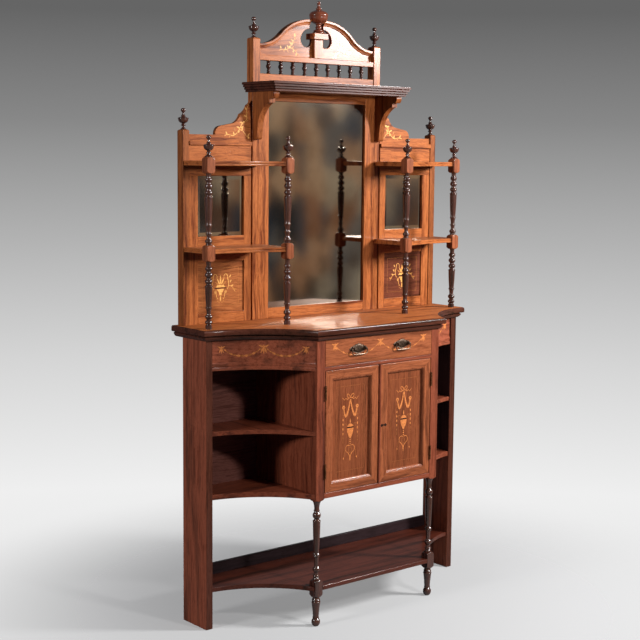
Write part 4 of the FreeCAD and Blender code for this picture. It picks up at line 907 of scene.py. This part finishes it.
class SIDEBOARD_OT_upper_back(SideboardStep, bpy.types.Operator):
    """Posts, frames, back boards and scrolled crests of the upper part"""
    bl_idname = "sideboard.upper_back"
    bl_label = "Upper back"

    def build(self, settings):
        for node in ("centre_uprights", "centre_mirror_frame", "side_frames", "crest_boards"):
            dress(node, "polished rosewood")
        dress("end_posts", "post rosewood")
        # The right inlaid panel takes a darker wood, which paints in the shade on it
        dress("inlaid_panels", "figured rosewood", "fine_edge", right_wood="dark figured rosewood")
        dress("upper_back_boards", "carcase rosewood")
        panel, spray = self.basket(settings), self.ear_spray()
        for art, name, node in ((panel, "vase inlay on the {} panel", "inlaid_panels"),
                                (spray, "leaf inlay on the {} crest", "crest_boards")):
            for side, way in SIDES:
                inlay(name.format(side), art, flat_front(span(node)[1][1], way), "case", pale=True)

    def basket(self, settings):
        """A wide vase with scrolls, trailing leaves and a husk drop, inside a line of stringing."""
        inner = span("centre_uprights")[0][1] + FRAME_GAP + INNER_STILE
        outer = span("end_posts")[0][1] - POST_WIDTH - OUTER_STILE
        z0, z1 = span("inlaid_panels")[2]
        middle, base = (inner + outer) / 2, (z0 + z1) / 2 - 8
        art = Marquetry(middle, base)
        art.line(curve((15, 36), (10, 54), (32, 60), (31, 34), 9), 1.6, 2.8)
        art.line(curve((31, 34), (37, 18), (36, 8), (28, -2), 8), 2.8, 1.8)
        art.line(curve((33, 10), (45, 12), (56, 2), (62, -12), 9), 2.2, 1.2)
        art.line(curve((33, 24), (44, 34), (42, 20), (50, 28), 8), 1.8, 1.2, 1)
        for x, z, angle in ((44, 8, 20), (52, 4, -70), (57, -4, 10), (38, 38, 60), (24, -6, -100), (40, 20, 60)):
            art.leaf(x, z, angle, 12, 4.5, 1 if x > 50 else 0)
        art.line(curve((20, -4), (14, -22), (22, -26), (10, -34), 9), 2.0, 1.4)
        for x, z in ((4, -38), (12, -42), (6, -46), (14, -34)):
            art.disc(x, z, 2.0, 1)
        art.leaf(3, 15, 62, 26, 6)
        art.leaf(8, 15, 34, 20, 5, 1)
        art.mirror()
        art.shape([(-20, 6), (20, 6), (14, 14), (-14, 14)])
        art.shape([(-24, 4.5), (24, 4.5), (24, 1.5), (-24, 1.5)], 2)
        art.shape([(-16, 0), (16, 0), (7, -12), (4, -22), (-4, -22), (-7, -12)])
        art.leaf(0, 15, 90, 34, 7)
        art.leaf(0, -23, -90, 20, 5)
        beside, ends = 20, 22
        art.rectangle(inner + beside - middle, outer - beside - middle, z0 + ends - base, z1 - ends - base,
                      settings.string_width / MM * 0.7)
        return art

    def ear_spray(self):
        """Leafy scrolls that follow the crest up to the middle."""
        art = Marquetry(span("centre_uprights")[0][1] + FRAME_GAP, span("crest_boards")[2][0])
        art.line(curve((112, 20), (80, 30), (84, 8), (58, 30), 12), 2.2, 3.4)
        art.line(curve((58, 30), (44, 44), (44, 60), (24, 70), 10), 3.4, 2.6)
        art.line(curve((24, 70), (6, 82), (30, 92), (12, 122), 10), 2.6, 1.6)
        art.line(curve((50, 40), (22, 40), (34, 22), (8, 14), 10), 2.6, 1.6)
        art.leaves(((100, 22, 60), (86, 24, -60), (70, 20, 70), (60, 30, 160), (48, 46, 20), (44, 56, 120),
                    (34, 64, 10), (24, 70, 170), (18, 84, 30), (22, 94, 150), (16, 108, 40), (12, 120, 90),
                    (38, 38, 100), (26, 30, -120), (14, 18, 130), (66, 36, 60), (30, 52, -20)), 15, 5.6)
        for x, z in ((52, 34), (30, 66), (10, 14)):
            art.disc(x, z, 4.2)
        return art


class SIDEBOARD_OT_mirrors(SideboardStep, bpy.types.Operator):
    """Bevelled mirrors in the centre and the sides"""
    bl_idname = "sideboard.mirrors"
    bl_label = "Mirrors"

    def build(self, settings):
        silver = silvered_glass()
        across, depth, height = span("centre_mirror")
        piece("bevelled centre mirror", [(*self.glass(across, depth, height, 22), silver)], ["centre_mirror"],
              smooth=2)
        (_, outer), depth, height = span("small_mirrors")
        inner = span("centre_uprights")[0][1] + FRAME_GAP + INNER_STILE
        small = (*self.glass((inner, outer), depth, height, 13), silver)
        piece("bevelled side mirrors", both(small), ["small_mirrors"], smooth=2)

    def glass(self, across, depth, height, bevel):
        """A plate with a sloped border all round its front."""
        back, front = depth
        return loft([[(x, d, z) for x, z in drawn_in(across, height, inset)]
                     for inset, d in ((0, back), (0, front - 0.5), (bevel, front))])


def finial(low, foot):
    """Rows of a turned finial: bell foot, cup, stem and ball."""
    return profile(low, foot, [
        (2, foot + 0.8, 0.8), (3, foot - 2.5), (7, 5.4, -1.4), (4, 7.2, 1.8), (3, 5, -0.4), (3, 9, -0.4),
        (13, 17, 2.4), (4, 17, 1.6), (2, 12.5, 0.3), (4, 6, -1.0), (3, 6.6, 1.0), (2, 3.8), (6, 3.4, -0.3),
        (2, 4.6, 0.6), (13, 0.8, 5.6)])


class SIDEBOARD_OT_columns(SideboardStep, bpy.types.Operator):
    """Turned columns with square blocks at the shelves and finials on top"""
    bl_idname = "sideboard.columns"
    bl_label = "Columns"

    def build(self, settings):
        dark, block_wood = wood("turned rosewood", 2), wood("block rosewood", 2)
        for node in ("outer_columns", "inner_columns"):
            (_, right), (d0, d1), (low, _) = span(node)
            x, d = right - COLUMN_BLOCK / 2, (d0 + d1) / 2
            first, second, tall, half = low + 225, low + 514, 54, 15.6
            beads = [(3, 9.2), (3, 8.2, -0.3), (16, 8.2, 4.9), (5, 8, -0.3), (17, 8.2, 4.9), (5, 8, -0.3),
                     (15, 8.2, 4.2)]
            lower = profile(low, 11.8, [
                (12, 11.4), (2, 9.4), (2, 8, -0.3), (14, 8, 4.6), (4, 7.8), (15, 8, 4.8), (6, 7.6, -0.4),
                (14, 9.6, -0.6), (5, 9.4, 2), (2, 9), (65, 12.4, 0.6), (4, 12.4, 1.2), *beads, (16, 9.6, -0.8)])
            upper = profile(first + tall, 9, [
                (3, 10.5, 0.8), (3, 8), (14, 8, 4.6), (3, 7.2), (12, 8.2, -0.6), (5, 8.2, 2.6), (3, 7.4),
                (20, 10, -0.8), (4, 10, 1.6), (2, 9.4), (85, 12.8, 0.6), (4, 12.8, 1.2), *beads, (13, 9.6, -0.8)])
            stack = ((lower, dark), (block(first, first + tall, half, 8), block_wood), (upper, dark),
                     (block(second, second + tall, half, 8), block_wood), (finial(second + tall, 12.6), dark))
            parts = [(*turning(rows, x, d), material) for rows, material in stack]
            piece(f"{node.split('_')[0]} turned columns", [side for part in parts for side in both(part)], [node])


class SIDEBOARD_OT_shelves(SideboardStep, bpy.types.Operator):
    """Corner shelves between the columns and the back"""
    bl_idname = "sideboard.shelves"
    bl_label = "Corner shelves"

    def build(self, settings):
        (_, post), (_, post_face), _ = span("end_posts")
        inner_edge = span("centre_uprights")[0][1] - UPRIGHT_WIDTH
        (_, inner), (inner_back, inner_front), _ = span("inner_columns")
        (_, outer), (outer_back, outer_front), _ = span("outer_columns")
        recess, bow, end_gap, slim = 7.5, 12, 3, 1.4
        frame_face = span("side_frames")[1][1]
        notch, end, post_inner = outer - COLUMN_BLOCK + slim, post - end_gap, post - POST_WIDTH

        def plan(inset):
            return trace([
                (inner_edge, frame_face), (inner_edge, inner_back + slim), (inner - slim, inner_back + slim),
                (inner - slim, inner_front - recess - inset, -bow),
                (notch, outer_front - recess - inset), (notch, outer_back + slim),
                (end - inset, outer_back + slim), (end - inset, post_face), (post_inner, post_face),
                (post_inner, frame_face)], count=20)

        for node in ("lower_shelves", "upper_shelves"):
            low, high = span(node)[2]
            rows = [(inset, low + rise) for inset, rise in (
                (1.6, 0), (0.4, 0.8), (0, 3.4), (0.4, 6.2), (2.0, 7.0), (2.0, 8.2), (0.4, 9.0), (0, 11.8),
                (0.4, 15.0))] + [(1.6, high)]
            piece(f"reeded {node}", both((*layered(plan, rows), wood("polished rosewood", 0))), [node], smooth=28)


class SIDEBOARD_OT_cornice(SideboardStep, bpy.types.Operator):
    """Fillet-moulded cornice on shaped brackets"""
    bl_idname = "sideboard.cornice"
    bl_label = "Cornice"

    def build(self, settings):
        (left, right), (back, front), (low, high) = span("cornice")
        steps, tread = 4, 5
        rise = (high - low) / steps

        def plan(inset):
            near = inset * 0.8
            return [(left + inset, back), (right - inset, back), (right - inset, front - near),
                    (left + inset, front - near)]

        rows = []
        for number in range(steps):
            inset, z = tread * (steps - 1 - number), low + rise * number
            rows += [(inset + 0.7, z), (inset, z + 0.9), (inset, z + rise - 2.6), (inset + 0.9, z + rise - 1.4),
                     (inset + 2.2, z + rise - 0.9)]
        rows.append((2.4, high))
        piece("fillet-moulded cornice", [(*layered(plan, rows), wood("nosing rosewood", 0))], ["cornice"],
              smooth=28)
        dress("cornice_brackets", "post rosewood")


class SIDEBOARD_OT_pediment(SideboardStep, bpy.types.Operator):
    """Spindle gallery, arched board, swept moulding, pedestal and finials"""
    bl_idname = "sideboard.pediment"
    bl_label = "Pediment"

    def build(self, settings):
        for node in ("pediment_frame", "pediment_board", "urn_pedestal"):
            dress(node, "polished rosewood")
        dark = wood("turned rosewood", 2)
        self.spindles(dark)
        self.arch()
        self.turnings(dark)
        inlay("flower sprays on the pediment", self.sprays(), flat_front(span("pediment_board")[1][1]), "case",
              pale=True)

    def spindles(self, dark):
        """Nine vase spindles in a row."""
        (left, right), (d0, d1), (low, _) = span("pediment_spindles")
        count, widest = 9, 8
        first = left + widest
        pitch = (right - left - 2 * widest) / (count - 1)
        rows = profile(low, 6.6, [
            (3, 7, 0.4), (1, 4.8), (3.5, 4.8, 2.0), (2, 4), (4, 4.6, 2.2), (2, 4), (3.5, 5.2, 1.2), (12, 8, 2.0),
            (3, 5.8, 0.4), (2, 4.6), (4, 5.8, 2.2), (2, 5), (4, 8, 1.0)])
        parts = [(*turning(rows, first + pitch * i, (d0 + d1) / 2), dark) for i in range(count)]
        piece("gallery spindles", parts, ["pediment_spindles"])

    def arch(self):
        """Moulding swept along each half of the broken arch."""
        (_, end), (back, front), (_, top) = span("arch_mouldings")
        foot = span("pediment_board")[2][0]
        # Places of the arch from its inner end out, and how far the lower edge lies under the upper one
        crown, knee, knee_height, end_height, deep = 32, 170, foot + 76, foot + 39, 17
        upper = trace([(end, end_height, 9.5), (knee, knee_height, -15.5), (crown, top)], 16, closed=False)
        lower = trace([(end, end_height - deep, 9.5), (knee - 6, knee_height - deep, -15.5), (crown, top - deep)],
                      16, closed=False)
        section = ((0, back), (0, front - 1), (0.04, front), (0.42, front), (0.46, front - 1), (0.48, front - 4),
                   (0.56, front - 5), (0.64, front - 4.4), (0.68, front - 5.6), (0.71, front - 8),
                   (0.95, front - 8.4), (1, front - 11), (1, back))
        rings = []
        for (xa, za), (xb, zb) in zip(upper, lower):
            rings.append([(xa + (xb - xa) * t, d, za + (zb - za) * t) for t, d in section])
        piece("swept arch mouldings", both((*loft(rings), wood("polished rosewood", 0))), ["arch_mouldings"])

    def turnings(self, dark):
        """Urn over the pedestal and a finial on every post."""
        _, (d0, d1), (low, _) = span("urn_finial")
        urn = profile(low, 20, [
            (5, 20.4, 1.2), (2, 17), (5, 16, 2.0), (2, 12), (4, 10, -0.8), (5, 10.8, 1.6), (4, 9, -0.4),
            (5, 11, -0.6), (2, 12.6, 0.6), (26, 33, 6.5), (8, 33, 1.4), (10, 20, 2.4), (3, 14, 0.4), (4, 9, -1.0),
            (3, 10, 1.0), (2, 7), (8, 5.6, -0.6), (3, 7, 0.9), (2, 4.8), (10, 0.8, 3.8)])
        piece("turned urn", [(*turning(urn, 0, (d0 + d1) / 2), wood("urn rosewood", 2))], ["urn_finial"])
        parts = []
        (_, outer), (e0, e1), (_, post_top) = span("end_posts")
        (_, edge), (p0, p1), (_, pediment_top) = span("pediment_frame")
        seat, pediment_post = 0.2, 31
        for x, d, z in ((outer - POST_WIDTH / 2, (e0 + e1) / 2, post_top),
                        (edge - pediment_post / 2, (p0 + p1) / 2, pediment_top)):
            parts += both((*turning(finial(z - seat, 9), x, d), dark))
        piece("post finials", parts, ["post_finials"])

    def sprays(self):
        """Branches of flowers and leaves on both halves of the board."""
        art = Marquetry(0, span("pediment_board")[2][0])
        art.line(curve((-168, 20), (-150, 32), (-140, 14), (-122, 34), 12), 1.6, 2.6)
        art.line(curve((-122, 34), (-112, 48), (-104, 50), (-98, 74), 10), 2.6, 1.4)
        art.line(curve((-124, 34), (-108, 30), (-100, 26), (-84, 10), 10), 2.4, 1.4)
        art.leaves(((-160, 26, 110), (-150, 26, -70), (-142, 22, 80), (-134, 24, -50), (-128, 30, 120),
                    (-120, 36, 30), (-116, 44, 130), (-110, 48, 20), (-106, 54, 140), (-102, 62, 30),
                    (-98, 72, 100), (-112, 30, 40), (-104, 27, -100), (-96, 21, 30), (-90, 15, -110),
                    (-84, 10, -40)), 13, 5.2)
        petals = 5
        for x, z in ((-122, 34), (-99, 76), (-112, 46)):
            for k in range(petals):
                art.leaf(x, z, 360 / petals * k, 6.5, 4)
        art.mirror()
        return art


class SIDEBOARD_OT_stage(bpy.types.Operator):
    """Floor, background, soft lights and camera"""
    bl_idname = "sideboard.stage"
    bl_label = "Stage"

    def execute(self, context):
        settings = context.scene.sideboard_stage
        self.floor(context)
        self.background(context.scene)
        self.light(context, "key", (0.15, -2.50, 1.90), (0, 0, 1.1), (0.25, 0.25), settings.key_power)
        self.light(context, "side", (2.25, -2.20, 2.50), (0, 0, 1.3), (0.50, 0.80), settings.side_power)
        self.light(context, "fill", (-4.20, 0.10, 2.20), (0, 0, 1.0), (0.7, 0.7), settings.fill_power)
        self.camera(context, settings)
        context.scene.view_settings.view_transform = "Standard"
        return {"FINISHED"}

    def floor(self, context):
        size = 4.0
        mesh = bpy.data.meshes.new("floor")
        square = [(x, y, 0) for x, y in drawn_in((-size, size), (-size, size), 0)]
        mesh.from_pydata(square, [], [(0, 1, 2, 3)])
        mesh.materials.append(studio_floor())
        floor = bpy.data.objects.new("floor", mesh)
        context.scene.collection.objects.link(floor)

    def background(self, scene):
        """Grey studio sweep to the camera, a dim room to mirrors, even soft light to everything else."""
        world = bpy.data.worlds.new("studio")
        scene.world = world
        world.use_nodes = True
        tree = world.node_tree
        tree.nodes.clear()
        way = add(tree, "ShaderNodeTexCoord").outputs["Generated"]
        parts = add(tree, "ShaderNodeSeparateXYZ", {"Vector": way})
        sweep = ramp(tree, share_of(tree, parts.outputs["Z"], -0.36, 0.12), [
            (0.0, "#E2E2E2"), (0.25, "#EFEFEF"), (0.44, "#D5D5D5"), (0.62, "#B2B2B2"), (0.80, "#878787"),
            (0.96, "#656565")])
        bands = add(tree, "ShaderNodeMapping", {"Vector": way, "Scale": (62.0, 62.0, 30.0)})
        things = add(tree, "ShaderNodeTexVoronoi", {"Vector": bands.outputs["Vector"], "Scale": 1.0},
                     distance="CHEBYCHEV")
        room = ramp(tree, things.outputs["Color"], [
            (0.22, "#DCD1B9"), (0.34, "#405972"), (0.44, "#2D373E"), (0.54, "#68564C"), (0.64, "#C8906A"),
            (0.76, "#F9D5AF")])
        rays = add(tree, "ShaderNodeLightPath").outputs
        behind = share_of(tree, parts.outputs["Y"], -0.1, 0.25)
        reflected = mix(tree, behind, room, linear("#6A6A6C"))
        seen = mix(tree, rays["Is Glossy Ray"], linear("#171F38"), reflected)
        shown = mix(tree, rays["Is Camera Ray"], seen, sweep)
        sky = add(tree, "ShaderNodeBackground", {"Color": shown, "Strength": 1.0})
        add(tree, "ShaderNodeOutputWorld", {"Surface": sky.outputs["Background"]})

    def light(self, context, name, place, target, size, power):
        data = bpy.data.lights.new(f"{name} light", "AREA")
        data.shape = "RECTANGLE"
        data.size, data.size_y = size
        data.energy = power
        lamp = bpy.data.objects.new(f"{name} light", data)
        lamp.location = place
        lamp.rotation_euler = (Vector(target) - Vector(place)).to_track_quat("-Z", "Y").to_euler()
        context.scene.collection.objects.link(lamp)

    def camera(self, context, settings):
        yaw, pitch, roll = settings.camera_yaw, settings.camera_pitch, settings.camera_roll
        ahead = Vector((math.sin(yaw) * math.cos(pitch), math.cos(yaw) * math.cos(pitch), -math.sin(pitch)))
        right = Vector((math.cos(yaw), -math.sin(yaw), 0.0))
        up = right.cross(ahead)
        turned_right = right * math.cos(roll) + up * math.sin(roll)
        turned_up = up * math.cos(roll) - right * math.sin(roll)
        data = bpy.data.cameras.new("camera")
        data.lens = settings.lens
        data.sensor_width = 36.0
        camera = bpy.data.objects.new("camera", data)
        turn = Matrix((turned_right, turned_up, -ahead)).transposed().to_4x4()
        camera.matrix_world = Matrix.Translation(settings.camera_place) @ turn
        context.scene.collection.objects.link(camera)
        context.scene.camera = camera


STEPS = (
    SIDEBOARD_OT_base, SIDEBOARD_OT_top, SIDEBOARD_OT_friezes, SIDEBOARD_OT_legs, SIDEBOARD_OT_drawer,
    SIDEBOARD_OT_handles, SIDEBOARD_OT_doors, SIDEBOARD_OT_upper_back, SIDEBOARD_OT_mirrors, SIDEBOARD_OT_columns,
    SIDEBOARD_OT_shelves, SIDEBOARD_OT_cornice, SIDEBOARD_OT_pediment, SIDEBOARD_OT_stage,
)


class SIDEBOARD_PT_panel(bpy.types.Panel):
    """Sidebar panel with the sizes and the building steps"""
    bl_idname = "SIDEBOARD_PT_panel"
    bl_label = "Mirror-back sideboard"
    bl_space_type = "VIEW_3D"
    bl_region_type = "UI"
    bl_category = "Sideboard"

    def draw(self, context):
        for group in (context.scene.sideboard_pieces, context.scene.sideboard_stage):
            for name in group.__annotations__:
                self.layout.prop(group, name)
        for step in STEPS:
            self.layout.operator(step.bl_idname)


CLASSES = (PieceSettings, StageSettings, *STEPS, SIDEBOARD_PT_panel)


def register():
    for cls in CLASSES:
        bpy.utils.register_class(cls)
    bpy.types.Scene.sideboard_pieces = bpy.props.PointerProperty(type=PieceSettings)
    bpy.types.Scene.sideboard_stage = bpy.props.PointerProperty(type=StageSettings)


def unregister():
    del bpy.types.Scene.sideboard_stage
    del bpy.types.Scene.sideboard_pieces
    for cls in reversed(CLASSES):
        bpy.utils.unregister_class(cls)


def main():
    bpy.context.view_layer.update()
    register()
    for step in STEPS:
        group, name = step.bl_idname.split(".")
        getattr(getattr(bpy.ops, group), name)()


if __name__ == "__main__":
    main()
